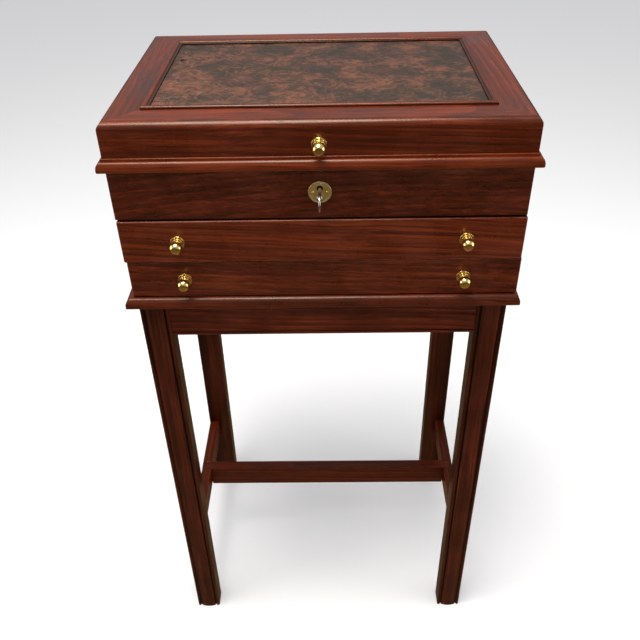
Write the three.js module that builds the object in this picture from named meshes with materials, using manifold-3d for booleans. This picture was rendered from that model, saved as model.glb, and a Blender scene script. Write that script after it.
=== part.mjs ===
// A jewellery chest with a lift-up lid and two shallow drawers, on its own four-legged stand.
// Millimetres, +Z up, front towards -Y. The origin is on the floor, under the middle of the whole
// object's box, from the key's bow in front to the hinge barrels behind.

import * as THREE from "three";
import { mergeVertices } from "three/addons/utils/BufferGeometryUtils.js";
import Module from "manifold-3d";

const wasm = await Module();
wasm.setup();

// ---------------------------------------------------------------- driving dimensions

// The chest's body
const BODY_WIDTH = 446;
const BODY_DEPTH = 312;
const BOARD = 14; // fronts, sides and back
const THIN_BOARD = 6; // case bottom and well floor
const DIVIDER = 5; // dust board between the drawers
const LOWER_DRAWER_SPACE = 48.3; // from the base moulding to the middle of the dust board
const UPPER_DRAWER_SPACE = 53.3; // from there to the underside of the well
const WELL_HEIGHT = 58.1; // well front, up to the lid
const LID_GAP = 0.4; // between the case's top edge and the lid
const SEAM = 0.6; // half of the gap round a drawer front
const UPPER_SEAM = 1.3; // the wider gap over the upper drawer
const WELL_FLOOR_LIFT = 1; // well floor's top, above the middle of the seam
const LINING = 2.5; // cloth-covered pads

// The lid
const LID_OVERHANG = 0.8; // each side, past the body
const LID_HEIGHT = 51.5;
const LID_EDGE_RADIUS = 8;
const LID_BORDER = 37.8; // flat border, from the lid's edge to the bead
const LID_BORDER_THICKNESS = 13;
const BEAD_WIDTH = 8.1;
const BEAD_RISE = 3; // above the border
const BEAD_GLUE_LINE = 0.1; // between the bead frame and the border
const PANEL_DROP = 1; // below the border
const LID_MOULDING_HEIGHT = 14.5;
const LID_MOULDING_REACH = 6.8;
const LID_MOULDING_FILLET = 3; // small step over the nose
const LID_MOULDING_FILLET_REACH = 1.6;

// The stand
const STAND_INSET = 4.5; // at each end, inside the body's sides
const STAND_PROUD = 1; // front and back, outside the body's faces
const STAND_HEIGHT = 616; // floor to the underside of the base moulding
const BASE_MOULDING_HEIGHT = 13.8;
const BASE_MOULDING_WIDTH = 24; // from the body's face inwards
const LEG = 36.4;
const LEG_CHAMFER = 11.5; // on the corner that faces the middle of the stand
const LEG_RELIEF = 1.5; // crown of the field above the beads
const LEG_BEAD = 4.5;
const LEG_QUIRK_WIDTH = 2;
const LEG_QUIRK_DEPTH = 4;
const LEG_FIELD_EDGE = 2.2; // depth of the field at its two edges
const APRON_HEIGHT = 44.7;
const APRON_THICKNESS = 16;
const APRON_SETBACK = 3;
const APRON_BEAD = 4;
const APRON_QUIRK = 1.4;
const SIDE_STRETCHER_THICKNESS = 15.7;
const SIDE_STRETCHER_HEIGHT = 33;
const SIDE_STRETCHER_SETBACK = 2.9; // from the legs' outer faces
const STRETCHER_TOP = 158.6;
const CROSS_STRETCHER_THICKNESS = 17.5;
const CROSS_STRETCHER_HEIGHT = 37;
const CROSS_STRETCHER_BACK = 12; // its middle, behind the middle of the stand
const TONGUE_LENGTH = 11; // lapped into the side stretchers' tops
const TONGUE_HEIGHT = 14;
const TONGUE_SHOULDER = 1.5; // each side of the tongue

// The drawers
const DRAWER_SIDE = 8;
const DRAWER_BOTTOM = 4;
const DRAWER_BOTTOM_LIFT = 3; // above the sides' lower edges
const DRAWER_SIDE_CLEARANCE = 3.2;
const DRAWER_BACK_CLEARANCE = 6;
const DRAWER_RUN_CLEARANCE = 0.4; // under the sides
const DRAWER_HEAD_CLEARANCE = 2.5; // over the sides
const FRONT_CLEARANCE = 0.5; // between a drawer front and the case's front edges
const UPPER_DRAWER_AJAR = 3; // the upper drawer stands this far out at rest
const UPPER_DRAWER_SIDEWAYS = 0.8; // how far each drawer lies off the middle in its loose fit
const LOWER_DRAWER_SIDEWAYS = 2.4;

// Knobs
const KNOB_ROSE_RADIUS = 8;
const KNOB_ROSE_EDGE = 1; // thickness of the rose at its rim
const KNOB_RING_RADIUS = 5; // foot of the neck, on the rose
const KNOB_RING_HEIGHT = 2.2;
const KNOB_NECK_RADIUS = 3;
const KNOB_NECK_START = 4; // from the front's face
const KNOB_NECK_LENGTH = 0.8;
const KNOB_FLARE = 1.4; // where the neck opens into the head
const KNOB_HEAD_RADIUS = 7.2;
const KNOB_CROWN = 0.9; // how round the head's end is, from flat (0) to a ball (1)
const DRAWER_KNOB_INSET = 64; // from the ends of the front
const LID_KNOB_DROP = 2.5; // below the middle of the lid's flat face

// Lock and key
const LOCK_AXIS_HEIGHT = 22.5; // keyhole's round eye, below the lid's underside
const KEYHOLE_EYE_CLEARANCE = 1.5; // round the key's shank
const KEYHOLE_SLOT_CLEARANCE = 0.4; // round the key's bit
const ESCUTCHEON_RADIUS = 12.5;
const ESCUTCHEON_THICKNESS = 1.2;
const ESCUTCHEON_DROP = 4.5; // its middle, below the lock's axis
const LOCK_WIDTH = 50;
const LOCK_DEPTH = 10; // let into the well front from inside
const LOCK_FLOOR = 6.1; // from the curtain down to the lock's lower edge
const LOCK_BACK_WALL = 1.9;
const CURTAIN_RIM = 0.8; // past the key's bit
const CURTAIN_FLOOR = 1.5; // behind the keyway
const BOLT_WIDTH = 18;
const BOLT_THICKNESS = 4.2;
const BOLT_CLEARANCE = 1.6; // over the curtain
const BOLT_THROW = 8;
const BOLT_POCKET = 2; // spare depth in the lid over the thrown bolt
const STRIKE_WIDTH = 44;
const STRIKE_RIM = 2.4; // in front of the bolt and behind it
const STRIKE_THICKNESS = 1.2;
const KEY_SHANK_RADIUS = 2;
const KEY_BIT = 8; // from the key's axis to the bit's edge
const KEY_BIT_THICKNESS = 3;
const KEY_BIT_SET = 0.4; // the bit's front edge, inside the curtain
const KEY_BOW_REACH = 34; // bow's middle, in front of the escutcheon
const KEY_BOW_RADIUS = 9.5;
const KEY_BOW_WIRE = 3;
const KEY_COLLAR_RADIUS = 3.1;
const KEY_COLLAR_LENGTH = 2.4;

// Hinges
const HINGE_INSET = 83; // its middle, from the body's side
const HINGE_LENGTH = 44;
const HINGE_LEAF = 1.5;
const HINGE_BARREL_RADIUS = 3;
const HINGE_PIN_RADIUS = 1.2;
const HINGE_KNUCKLE = 12.4; // the middle knuckle, which belongs to the lid
const HINGE_MARGIN = 1.5; // bare wood inside each leaf

// Clearance between a let-in piece and its recess, and between moving metal parts
const FIT = 0.3;

// How far a cutting tool reaches past a face that it opens
const PAST = 1;

// The most that a flat may stand inside the true curve, and the most that matching points differ
const CHORD = 0.08;
const SAME_POINT = 1e-4;

// ---------------------------------------------------------------- places worked out from them

const BASE_TOP = STAND_HEIGHT + BASE_MOULDING_HEIGHT;
const DIVIDER_MIDDLE = BASE_TOP + LOWER_DRAWER_SPACE;
const WELL_BOTTOM = DIVIDER_MIDDLE + UPPER_DRAWER_SPACE;
const LID_BOTTOM = WELL_BOTTOM + WELL_HEIGHT;
const CASE_TOP = LID_BOTTOM - LID_GAP;
const LID_TOP = LID_BOTTOM + LID_HEIGHT;
const WELL_FLOOR_TOP = WELL_BOTTOM + WELL_FLOOR_LIFT;
const HALF_WIDTH = BODY_WIDTH / 2;
const HALF_DEPTH = BODY_DEPTH / 2;
const INNER_HALF_WIDTH = HALF_WIDTH - BOARD;
const INNER_HALF_DEPTH = HALF_DEPTH - BOARD;
const LID_HALF_WIDTH = HALF_WIDTH + LID_OVERHANG;
const LID_HALF_DEPTH = HALF_DEPTH + LID_OVERHANG;
const STAND_HALF_WIDTH = HALF_WIDTH - STAND_INSET;
const STAND_HALF_DEPTH = HALF_DEPTH + STAND_PROUD;
const BASE_MOULDING_REACH = BASE_MOULDING_HEIGHT / 2;
const LID_FLAT = [LID_BOTTOM + LID_MOULDING_HEIGHT, LID_TOP - LID_EDGE_RADIUS];
const LID_KNOB_Z = (LID_FLAT[0] + LID_FLAT[1]) / 2 - LID_KNOB_DROP;
const DRAWER_KNOB_X = HALF_WIDTH - DRAWER_KNOB_INSET;
const KEYHOLE_RADIUS = KEY_SHANK_RADIUS + KEYHOLE_EYE_CLEARANCE;
const KEYHOLE_SLOT = KEY_BIT_THICKNESS + 2 * KEYHOLE_SLOT_CLEARANCE;
const KEYHOLE_SLOT_DROP = KEY_BIT + KEYHOLE_SLOT_CLEARANCE;
const LOCK_AXIS = LID_BOTTOM - LOCK_AXIS_HEIGHT;
const LOCK_FRONT = -INNER_HALF_DEPTH - LOCK_DEPTH + FIT;
const CURTAIN_RADIUS = KEY_BIT + CURTAIN_RIM;
const CURTAIN_Y = [LOCK_FRONT + FIT, -INNER_HALF_DEPTH - LOCK_BACK_WALL - FIT];
const LOCK_BOTTOM = LOCK_AXIS - CURTAIN_RADIUS - LOCK_FLOOR;
const BOLT_TOP = CASE_TOP - FIT;
const BOLT_BOTTOM = LOCK_AXIS + CURTAIN_RADIUS + BOLT_CLEARANCE;
const BOLT_MIDDLE_Y = (CURTAIN_Y[0] + CURTAIN_Y[1]) / 2;
const BOLT_Y = [BOLT_MIDDLE_Y - BOLT_THICKNESS / 2, BOLT_MIDDLE_Y + BOLT_THICKNESS / 2];
const KEY_INNER_END = CURTAIN_Y[1] - CURTAIN_FLOOR - FIT;
const HINGE_X = HALF_WIDTH - HINGE_INSET;
const HINGE_Y = LID_HALF_DEPTH + HINGE_BARREL_RADIUS + FIT;
const HINGE_Z = (CASE_TOP + LID_BOTTOM) / 2;
const KEY_END = -HALF_DEPTH - ESCUTCHEON_THICKNESS - KEY_BOW_REACH - KEY_BOW_RADIUS;
const REAR_END = Math.max(HINGE_Y + HINGE_BARREL_RADIUS, HALF_DEPTH + BASE_MOULDING_REACH);
const BOX_MIDDLE_Y = (KEY_END + REAR_END) / 2;

// ---------------------------------------------------------------- finishes

const finish = (colour, roughness, metalness) =>
  new THREE.MeshStandardMaterial({ color: colour, roughness, metalness });
const ROSEWOOD = () => finish(0x5a2414, 0.35, 0);
const BURR = () => finish(0x5b4638, 0.45, 0);
const DRAWER_WOOD = () => finish(0x8a5a34, 0.6, 0);
const BAIZE = () => finish(0x1f3a2a, 0.95, 0);
const BRASS = () => finish(0xc79a3e, 0.2, 1);
const OLD_BRASS = () => finish(0x96823c, 0.4, 1);
const STEEL = () => finish(0xb9b6b2, 0.25, 1);

// ---------------------------------------------------------------- shapes

/** A box between two values on each axis, as a geometry already in place. */
function boxBetween([x0, x1], [y0, y1], [z0, z1]) {
  const geometry = new THREE.BoxGeometry(x1 - x0, y1 - y0, z1 - z0);
  return geometry.translate((x0 + x1) / 2, (y0 + y1) / 2, (z0 + z1) / 2);
}

/** A span of the given half-length about zero. */
const span = (half) => [-half, half];

/** An outline in plan, raised between two heights. */
function prism(outline, [z0, z1]) {
  const shape = new THREE.Shape(outline.map(([x, y]) => new THREE.Vector2(x, y)));
  const geometry = new THREE.ExtrudeGeometry(shape, { depth: z1 - z0, bevelEnabled: false });
  return geometry.translate(0, 0, z0);
}

/** How many flats stand in for an arc of the given sweep in degrees. */
function flats(radius, sweep = 360) {
  const each = THREE.MathUtils.radToDeg(2 * Math.acos(1 - CHORD / radius));
  return Math.ceil(Math.abs(sweep) / each);
}

/** A cylinder along Y between two values of y. */
function cylinderAlongY(radius, x, z, [y0, y1]) {
  const geometry = new THREE.CylinderGeometry(radius, radius, y1 - y0, flats(radius));
  return geometry.translate(x, (y0 + y1) / 2, z);
}

/** A cylinder along X between two values of x. */
function cylinderAlongX(radius, y, z, [x0, x1]) {
  const geometry = new THREE.CylinderGeometry(radius, radius, x1 - x0, flats(radius));
  return geometry.rotateZ(Math.PI / 2).translate((x0 + x1) / 2, y, z);
}

/** Points on an arc about a centre, ends included; angles in degrees. */
function arc([cx, cy], radius, from, to) {
  const steps = flats(radius, to - from);
  return Array.from({ length: steps + 1 }, (_, i) => {
    const angle = THREE.MathUtils.degToRad(from + ((to - from) * i) / steps);
    return [cx + radius * Math.cos(angle), cy + radius * Math.sin(angle)];
  });
}

/** The end of a rail that is mitred where its nominal line meets the next rail's. */
const mitre = (halfAlong, halfAcross) => (out) => halfAlong - halfAcross + out;

/** The end of a rail that is cut square. */
const square = (half) => () => half;

/**
 * A rail on the +X side of a frame, running along Y. Its section's points are [distance from the
 * middle of the frame, height], and each end says how far it reaches at a given distance.
 */
function rail(section, frontEnd, backEnd) {
  const shape = new THREE.Shape(section.map(([out, up]) => new THREE.Vector2(out, up)));
  const geometry = new THREE.ExtrudeGeometry(shape, { depth: 1, bevelEnabled: false });
  const at = geometry.attributes.position;
  for (let i = 0; i < at.count; i++) {
    const out = at.getX(i);
    const y = at.getZ(i) > 0.5 ? -frontEnd(out) : backEnd(out);
    at.setXYZ(i, out, y, at.getY(i));
  }
  return geometry;
}

/** A closed geometry as a solid that can be cut and joined. */
function solid(geometry) {
  const bare = geometry.clone();
  bare.deleteAttribute("normal");
  bare.deleteAttribute("uv");
  const merged = mergeVertices(bare, SAME_POINT);
  const vertProperties = merged.attributes.position.array;
  const triVerts = new Uint32Array(merged.index.array);
  return new wasm.Manifold(new wasm.Mesh({ numProp: 3, vertProperties, triVerts }));
}

/** A solid back as a geometry. */
function geometryOf(body) {
  const { vertProperties, triVerts } = body.getMesh();
  const geometry = new THREE.BufferGeometry();
  geometry.setAttribute("position", new THREE.BufferAttribute(new Float32Array(vertProperties), 3));
  geometry.setIndex(new THREE.BufferAttribute(new Uint32Array(triVerts), 1));
  geometry.computeVertexNormals();
  return geometry;
}

const joined = (...parts) => geometryOf(parts.map(solid).reduce((a, b) => a.add(b)));
const cut = (body, ...tools) =>
  geometryOf(tools.map(solid).reduce((a, b) => a.subtract(b), solid(body)));

/** A named mesh in a group, turned about Z by a number of quarter turns. */
function add(group, name, geometry, material, quarterTurns = 0) {
  const mesh = new THREE.Mesh(geometry, material);
  mesh.name = name;
  mesh.rotation.z = (quarterTurns * Math.PI) / 2;
  group.add(mesh);
  return mesh;
}

/** The left and right of the object, with the sign of x on each. */
const ENDS = [
  ["left", -1],
  ["right", 1],
];

/** The four sides of a frame, with the quarter turns that carry a +X rail to each. */
const SIDES = [
  { side: "right", turns: 0 },
  { side: "back", turns: 1 },
  { side: "left", turns: 2 },
  { side: "front", turns: 3 },
];

/** Half-sizes of a frame as a rail on one side sees them: out to its own line, and along it. */
function halves(turns, halfWidth, halfDepth) {
  const crosswise = turns % 2 === 1;
  return crosswise
    ? { across: halfDepth, along: halfWidth }
    : { across: halfWidth, along: halfDepth };
}

// ---------------------------------------------------------------- stand

/** A leg's section: two moulded outer faces, two plain inner ones and a chamfer between these. */
function legOutline(sideX, sideY) {
  const r = LEG_BEAD / 2;
  const cornerCentre = LEG_RELIEF + r;
  const fieldStart = LEG_RELIEF + LEG_BEAD + LEG_QUIRK_WIDTH;
  const edgeBead = LEG_BEAD + (LEG_QUIRK_DEPTH - LEG_RELIEF - r);
  const fieldEnd = LEG - edgeBead - LEG_QUIRK_WIDTH;
  const half = (fieldEnd - fieldStart) / 2;
  const fieldRadius = (half * half + LEG_FIELD_EDGE * LEG_FIELD_EDGE) / (2 * LEG_FIELD_EDGE);
  const sweep = THREE.MathUtils.radToDeg(Math.asin(half / fieldRadius));
  const fieldCentre = [fieldStart + half, fieldRadius];
  const face = [
    [cornerCentre + r, LEG_QUIRK_DEPTH],
    [fieldStart, LEG_QUIRK_DEPTH],
    ...arc(fieldCentre, fieldRadius, -90 - sweep, -90 + sweep),
    [fieldEnd, LEG_QUIRK_DEPTH],
    [LEG - edgeBead, LEG_QUIRK_DEPTH],
    ...arc([LEG - edgeBead / 2, LEG_QUIRK_DEPTH], edgeBead / 2, -180, 0).slice(1),
  ];
  const corner = arc([cornerCentre, cornerCentre], r, 180, 270);
  const swapped = face.map(([u, d]) => [d, u]).reverse();
  const inner = [
    [LEG, LEG - LEG_CHAMFER],
    [LEG - LEG_CHAMFER, LEG],
  ];
  const outline = [...corner, [cornerCentre + r, cornerCentre], ...face, ...inner, ...swapped];
  outline.push([cornerCentre, cornerCentre + r]);
  return outline.map(([u, d]) => [sideX * (STAND_HALF_WIDTH - u), sideY * (STAND_HALF_DEPTH - d)]);
}

/** An apron's section, with a bead and a quirk along its lower edge. */
function apronSection(across) {
  const outer = across - APRON_SETBACK;
  const bottom = STAND_HEIGHT - APRON_HEIGHT;
  const r = APRON_BEAD / 2;
  return [
    [outer - APRON_THICKNESS, bottom],
    [outer - r, bottom],
    ...arc([outer - r, bottom + r], r, -90, 90).slice(1),
    [outer - r, bottom + APRON_BEAD + APRON_QUIRK],
    [outer, bottom + APRON_BEAD + APRON_QUIRK],
    [outer, STAND_HEIGHT],
    [outer - APRON_THICKNESS, STAND_HEIGHT],
  ];
}

/** The base moulding's section: a flat rail with a half-round nose past the body's face. */
function baseMouldingSection(across) {
  const r = BASE_MOULDING_REACH;
  const inner = across - BASE_MOULDING_WIDTH;
  const nose = arc([across, STAND_HEIGHT + r], r, -90, 90);
  return [[inner, STAND_HEIGHT], ...nose, [inner, BASE_TOP]];
}

function makeStand() {
  const stand = new THREE.Group();
  for (const [row, sideY] of [["front", -1], ["back", 1]]) {
    for (const [column, sideX] of ENDS) {
      const leg = prism(legOutline(sideX, sideY), [0, STAND_HEIGHT]);
      add(stand, `leg_${row}_${column}`, leg, ROSEWOOD());
    }
  }
  for (const { side, turns } of SIDES) {
    const legs = halves(turns, STAND_HALF_WIDTH, STAND_HALF_DEPTH);
    const end = square(legs.along - LEG);
    add(stand, `apron_${side}`, rail(apronSection(legs.across), end, end), ROSEWOOD(), turns);
    const body = halves(turns, HALF_WIDTH, HALF_DEPTH);
    const corner = mitre(body.along, body.across);
    const moulding = rail(baseMouldingSection(body.across), corner, corner);
    add(stand, `base_moulding_${side}`, moulding, ROSEWOOD(), turns);
  }
  addStretchers(stand);
  return stand;
}

/** The H-stretcher: two side rails between the legs and a cross rail lapped into their tops. */
function addStretchers(stand) {
  const outer = STAND_HALF_WIDTH - SIDE_STRETCHER_SETBACK;
  const inner = outer - SIDE_STRETCHER_THICKNESS;
  const crossY = [
    CROSS_STRETCHER_BACK - CROSS_STRETCHER_THICKNESS / 2,
    CROSS_STRETCHER_BACK + CROSS_STRETCHER_THICKNESS / 2,
  ];
  const tongueY = [crossY[0] + TONGUE_SHOULDER, crossY[1] - TONGUE_SHOULDER];
  const tongueZ = [STRETCHER_TOP - TONGUE_HEIGHT, STRETCHER_TOP];
  const notchY = [tongueY[0] - FIT, tongueY[1] + FIT];
  const notchZ = [tongueZ[0] - FIT, STRETCHER_TOP + PAST];
  const sideZ = [STRETCHER_TOP - SIDE_STRETCHER_HEIGHT, STRETCHER_TOP];
  for (const [side, sign] of ENDS) {
    const across = (a, b) => [sign * a, sign * b].sort((p, q) => p - q);
    const bar = boxBetween(across(inner, outer), span(STAND_HALF_DEPTH - LEG), sideZ);
    const notch = boxBetween(across(inner - PAST, inner + TONGUE_LENGTH + FIT), notchY, notchZ);
    add(stand, `stretcher_${side}`, cut(bar, notch), ROSEWOOD());
  }
  const crossZ = [STRETCHER_TOP - CROSS_STRETCHER_HEIGHT, STRETCHER_TOP];
  const cross = joined(
    boxBetween(span(inner), crossY, crossZ),
    boxBetween(span(inner + TONGUE_LENGTH), tongueY, tongueZ),
  );
  add(stand, "stretcher_cross", cross, ROSEWOOD());
}

// ---------------------------------------------------------------- case

/** A side board: full depth beside the well, set back behind the drawer fronts lower down. */
function caseSide(sign) {
  const flip = (points) => points.map(([x, y]) => [sign * x, y]);
  const back = [
    [HALF_WIDTH, HALF_DEPTH],
    [INNER_HALF_WIDTH, INNER_HALF_DEPTH],
  ];
  const front = -INNER_HALF_DEPTH + FRONT_CLEARANCE;
  const lower = flip([[INNER_HALF_WIDTH, front], [HALF_WIDTH, front], ...back]);
  const upper = flip([[INNER_HALF_WIDTH, -INNER_HALF_DEPTH], [HALF_WIDTH, -HALF_DEPTH], ...back]);
  const shoulder = WELL_BOTTOM + UPPER_SEAM - SEAM;
  return joined(prism(lower, [BASE_TOP, shoulder]), prism(upper, [shoulder, CASE_TOP]));
}

/** A board whose ends are mitred to the side boards, on the front (-1) or the back (1). */
function mitredBoard(sign, heights) {
  const outline = [
    [-HALF_WIDTH, sign * HALF_DEPTH],
    [HALF_WIDTH, sign * HALF_DEPTH],
    [INNER_HALF_WIDTH, sign * INNER_HALF_DEPTH],
    [-INNER_HALF_WIDTH, sign * INNER_HALF_DEPTH],
  ];
  return prism(outline, heights);
}

/** The keyhole's two cutting tools: a round eye and the slot below it. */
function keyhole(radius, slot, drop, reach) {
  const eye = cylinderAlongY(radius, 0, LOCK_AXIS, reach);
  return [eye, boxBetween(span(slot / 2), reach, [LOCK_AXIS - drop, LOCK_AXIS])];
}

/** Cutting tools for the hinge leaves' recesses in one board, at the two hinges. */
function hingeRecesses(heights) {
  const front = INNER_HALF_DEPTH + HINGE_MARGIN - FIT;
  return [-1, 1].map((sign) => {
    const middle = sign * HINGE_X;
    const half = HINGE_LENGTH / 2 + FIT;
    return boxBetween([middle - half, middle + half], [front, LID_HALF_DEPTH + PAST], heights);
  });
}

function makeCase() {
  const chest = new THREE.Group();
  add(chest, "case_side_left", caseSide(-1), ROSEWOOD());
  add(chest, "case_side_right", caseSide(1), ROSEWOOD());
  const recesses = hingeRecesses([CASE_TOP - HINGE_LEAF - FIT, CASE_TOP + PAST]);
  add(chest, "case_back", cut(mitredBoard(1, [BASE_TOP, CASE_TOP]), ...recesses), ROSEWOOD());
  const lockPocket = boxBetween(
    span(LOCK_WIDTH / 2),
    [-INNER_HALF_DEPTH - LOCK_DEPTH, -INNER_HALF_DEPTH + PAST],
    [LOCK_BOTTOM, CASE_TOP + PAST],
  );
  const hole = keyhole(KEYHOLE_RADIUS + FIT, KEYHOLE_SLOT + 2 * FIT, KEYHOLE_SLOT_DROP + FIT, [
    -HALF_DEPTH - PAST,
    -INNER_HALF_DEPTH - LOCK_DEPTH + PAST,
  ]);
  const wellFront = mitredBoard(-1, [WELL_BOTTOM + UPPER_SEAM - SEAM, CASE_TOP]);
  add(chest, "well_front", cut(wellFront, lockPocket, ...hole), ROSEWOOD());

  const width = span(INNER_HALF_WIDTH);
  const depth = [-INNER_HALF_DEPTH + FRONT_CLEARANCE, INNER_HALF_DEPTH];
  const boards = {
    case_bottom: [BASE_TOP, BASE_TOP + THIN_BOARD],
    drawer_divider: [DIVIDER_MIDDLE - DIVIDER / 2, DIVIDER_MIDDLE + DIVIDER / 2],
    well_floor: [WELL_FLOOR_TOP - THIN_BOARD, WELL_FLOOR_TOP],
  };
  for (const [name, heights] of Object.entries(boards)) {
    add(chest, name, boxBetween(width, depth, heights), DRAWER_WOOD());
  }
  const pad = boxBetween(
    span(INNER_HALF_WIDTH - FIT),
    span(INNER_HALF_DEPTH - FRONT_CLEARANCE - FIT),
    [WELL_FLOOR_TOP, WELL_FLOOR_TOP + LINING],
  );
  add(chest, "well_lining", pad, BAIZE());
  addLock(chest);
  addHingeLeaves(chest, "case");
  return chest;
}

/** The lock, let into the well front: its case, the turning curtain, the bolt and the key. */
function addLock(chest) {
  const face = -HALF_DEPTH - ESCUTCHEON_THICKNESS;
  const plateZ = LOCK_AXIS - ESCUTCHEON_DROP;
  const plate = cylinderAlongY(ESCUTCHEON_RADIUS, 0, plateZ, [face, -HALF_DEPTH]);
  const through = [face - PAST, -HALF_DEPTH + PAST];
  const hole = keyhole(KEYHOLE_RADIUS, KEYHOLE_SLOT, KEYHOLE_SLOT_DROP, through);
  add(chest, "escutcheon", cut(plate, ...hole), OLD_BRASS());

  const box = boxBetween(
    span(LOCK_WIDTH / 2 - FIT),
    [LOCK_FRONT, -INNER_HALF_DEPTH],
    [LOCK_BOTTOM + FIT, CASE_TOP],
  );
  const curtainBore = cylinderAlongY(CURTAIN_RADIUS + FIT, 0, LOCK_AXIS, [
    LOCK_FRONT - PAST,
    CURTAIN_Y[1] + FIT,
  ]);
  const boltSlot = boxBetween(
    span(BOLT_WIDTH / 2 + FIT),
    [BOLT_Y[0] - FIT, BOLT_Y[1] + FIT],
    [BOLT_BOTTOM - FIT, CASE_TOP + PAST],
  );
  add(chest, "lock_case", cut(box, curtainBore, boltSlot), OLD_BRASS());
  const bolt = boxBetween(span(BOLT_WIDTH / 2), BOLT_Y, [BOLT_BOTTOM, BOLT_TOP]);
  add(chest, "lock_bolt", bolt, STEEL());
  const keyway = [CURTAIN_Y[0] - PAST, KEY_INNER_END + FIT];
  const curtain = cut(
    cylinderAlongY(CURTAIN_RADIUS, 0, LOCK_AXIS, CURTAIN_Y),
    cylinderAlongY(KEY_SHANK_RADIUS + FIT, 0, LOCK_AXIS, keyway),
    boxBetween(span(KEY_BIT_THICKNESS / 2 + FIT), keyway, [LOCK_AXIS - KEY_BIT - FIT, LOCK_AXIS]),
  );
  add(chest, "lock_curtain", curtain, STEEL());
  add(chest, "key", keyGeometry(), STEEL());
}

/** The key: shank, bit, collar and a ring bow standing upright. */
function keyGeometry() {
  const face = -HALF_DEPTH - ESCUTCHEON_THICKNESS;
  const bowY = face - KEY_BOW_REACH;
  const ring = new THREE.Shape().absarc(0, 0, KEY_BOW_RADIUS, 0, 2 * Math.PI);
  ring.holes.push(
    new THREE.Path().absarc(0, 0, KEY_BOW_RADIUS - KEY_BOW_WIRE, 0, 2 * Math.PI, true),
  );
  const bow = new THREE.ExtrudeGeometry(ring, {
    depth: KEY_BOW_WIRE,
    bevelEnabled: false,
    curveSegments: flats(KEY_BOW_RADIUS),
  });
  bow.translate(0, 0, -KEY_BOW_WIRE / 2).rotateY(Math.PI / 2).translate(0, bowY, LOCK_AXIS);
  const shankFront = bowY + KEY_BOW_RADIUS - KEY_BOW_WIRE / 2;
  const collarY = [shankFront, shankFront + KEY_COLLAR_LENGTH];
  const bit = boxBetween(
    span(KEY_BIT_THICKNESS / 2),
    [CURTAIN_Y[0] + KEY_BIT_SET, KEY_INNER_END],
    [LOCK_AXIS - KEY_BIT, LOCK_AXIS],
  );
  return joined(
    bow,
    cylinderAlongY(KEY_SHANK_RADIUS, 0, LOCK_AXIS, [shankFront, KEY_INNER_END]),
    cylinderAlongY(KEY_COLLAR_RADIUS, 0, LOCK_AXIS, collarY),
    bit,
  );
}

/** One body's leaves of the two stop hinges. The case's leaves carry the pins. */
function addHingeLeaves(group, owner) {
  const onLid = owner === "lid";
  const leafZ = onLid ? [LID_BOTTOM, LID_BOTTOM + HINGE_LEAF] : [CASE_TOP - HINGE_LEAF, CASE_TOP];
  const half = HINGE_LENGTH / 2;
  const knuckle = HINGE_KNUCKLE / 2;
  const clear = HINGE_BARREL_RADIUS + FIT;
  for (const [side, sign] of ENDS) {
    const middle = sign * HINGE_X;
    const about = (a, b) => [middle + a, middle + b];
    const along = (radius, a, b) => cylinderAlongX(radius, HINGE_Y, HINGE_Z, about(a, b));
    const plate = boxBetween(
      about(-half, half),
      [INNER_HALF_DEPTH + HINGE_MARGIN, HINGE_Y],
      leafZ,
    );
    const edge = knuckle + FIT;
    const leaf = onLid
      ? solid(plate)
          .subtract(solid(along(clear, -half - PAST, -knuckle)))
          .subtract(solid(along(clear, knuckle, half + PAST)))
          .add(solid(along(HINGE_BARREL_RADIUS, -knuckle, knuckle)))
          .subtract(solid(along(HINGE_PIN_RADIUS + FIT, -half, half)))
      : solid(plate)
          .subtract(solid(along(clear, -edge, edge)))
          .add(solid(along(HINGE_BARREL_RADIUS, -half, -edge)))
          .add(solid(along(HINGE_BARREL_RADIUS, edge, half)))
          .add(solid(along(HINGE_PIN_RADIUS, -half, half)));
    add(group, `hinge_${owner}_leaf_${side}`, geometryOf(leaf), BRASS());
  }
}

// ---------------------------------------------------------------- lid

/** A lid rail's section: a deep skirt and the flat border over it, rounded at the top edge. */
function lidRailSection(across) {
  const r = LID_EDGE_RADIUS;
  const skirt = across - BOARD;
  const border = across - LID_BORDER;
  const under = LID_TOP - LID_BORDER_THICKNESS;
  return [
    [skirt, LID_BOTTOM],
    [across, LID_BOTTOM],
    ...arc([across - r, LID_TOP - r], r, 0, 90),
    [border, LID_TOP],
    [border, under],
    [skirt, under],
  ];
}

/** The bead that frames the panel: a rounded strip, higher than the border. */
function beadSection(across) {
  const outer = across - LID_BORDER - BEAD_GLUE_LINE;
  const under = LID_TOP - LID_BORDER_THICKNESS;
  const r = BEAD_RISE;
  const inner = across - LID_BORDER - BEAD_WIDTH;
  return [
    [outer, under],
    ...arc([outer - r, LID_TOP], r, 0, 90),
    [inner + r, LID_TOP + BEAD_RISE],
    [inner, LID_TOP],
    [inner, under],
  ];
}

/** The lid moulding's section: a half-round nose with a small fillet over it. */
function lidMouldingSection(across) {
  const noseTop = LID_BOTTOM + LID_MOULDING_HEIGHT - LID_MOULDING_FILLET;
  const halfHeight = (noseTop - LID_BOTTOM) / 2;
  const root = across + LID_MOULDING_REACH - halfHeight;
  return [
    [across, LID_BOTTOM],
    ...arc([root, LID_BOTTOM + halfHeight], halfHeight, -90, 90),
    [across + LID_MOULDING_FILLET_REACH, noseTop],
    [across + LID_MOULDING_FILLET_REACH, LID_BOTTOM + LID_MOULDING_HEIGHT],
    [across, LID_BOTTOM + LID_MOULDING_HEIGHT],
  ];
}

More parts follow.
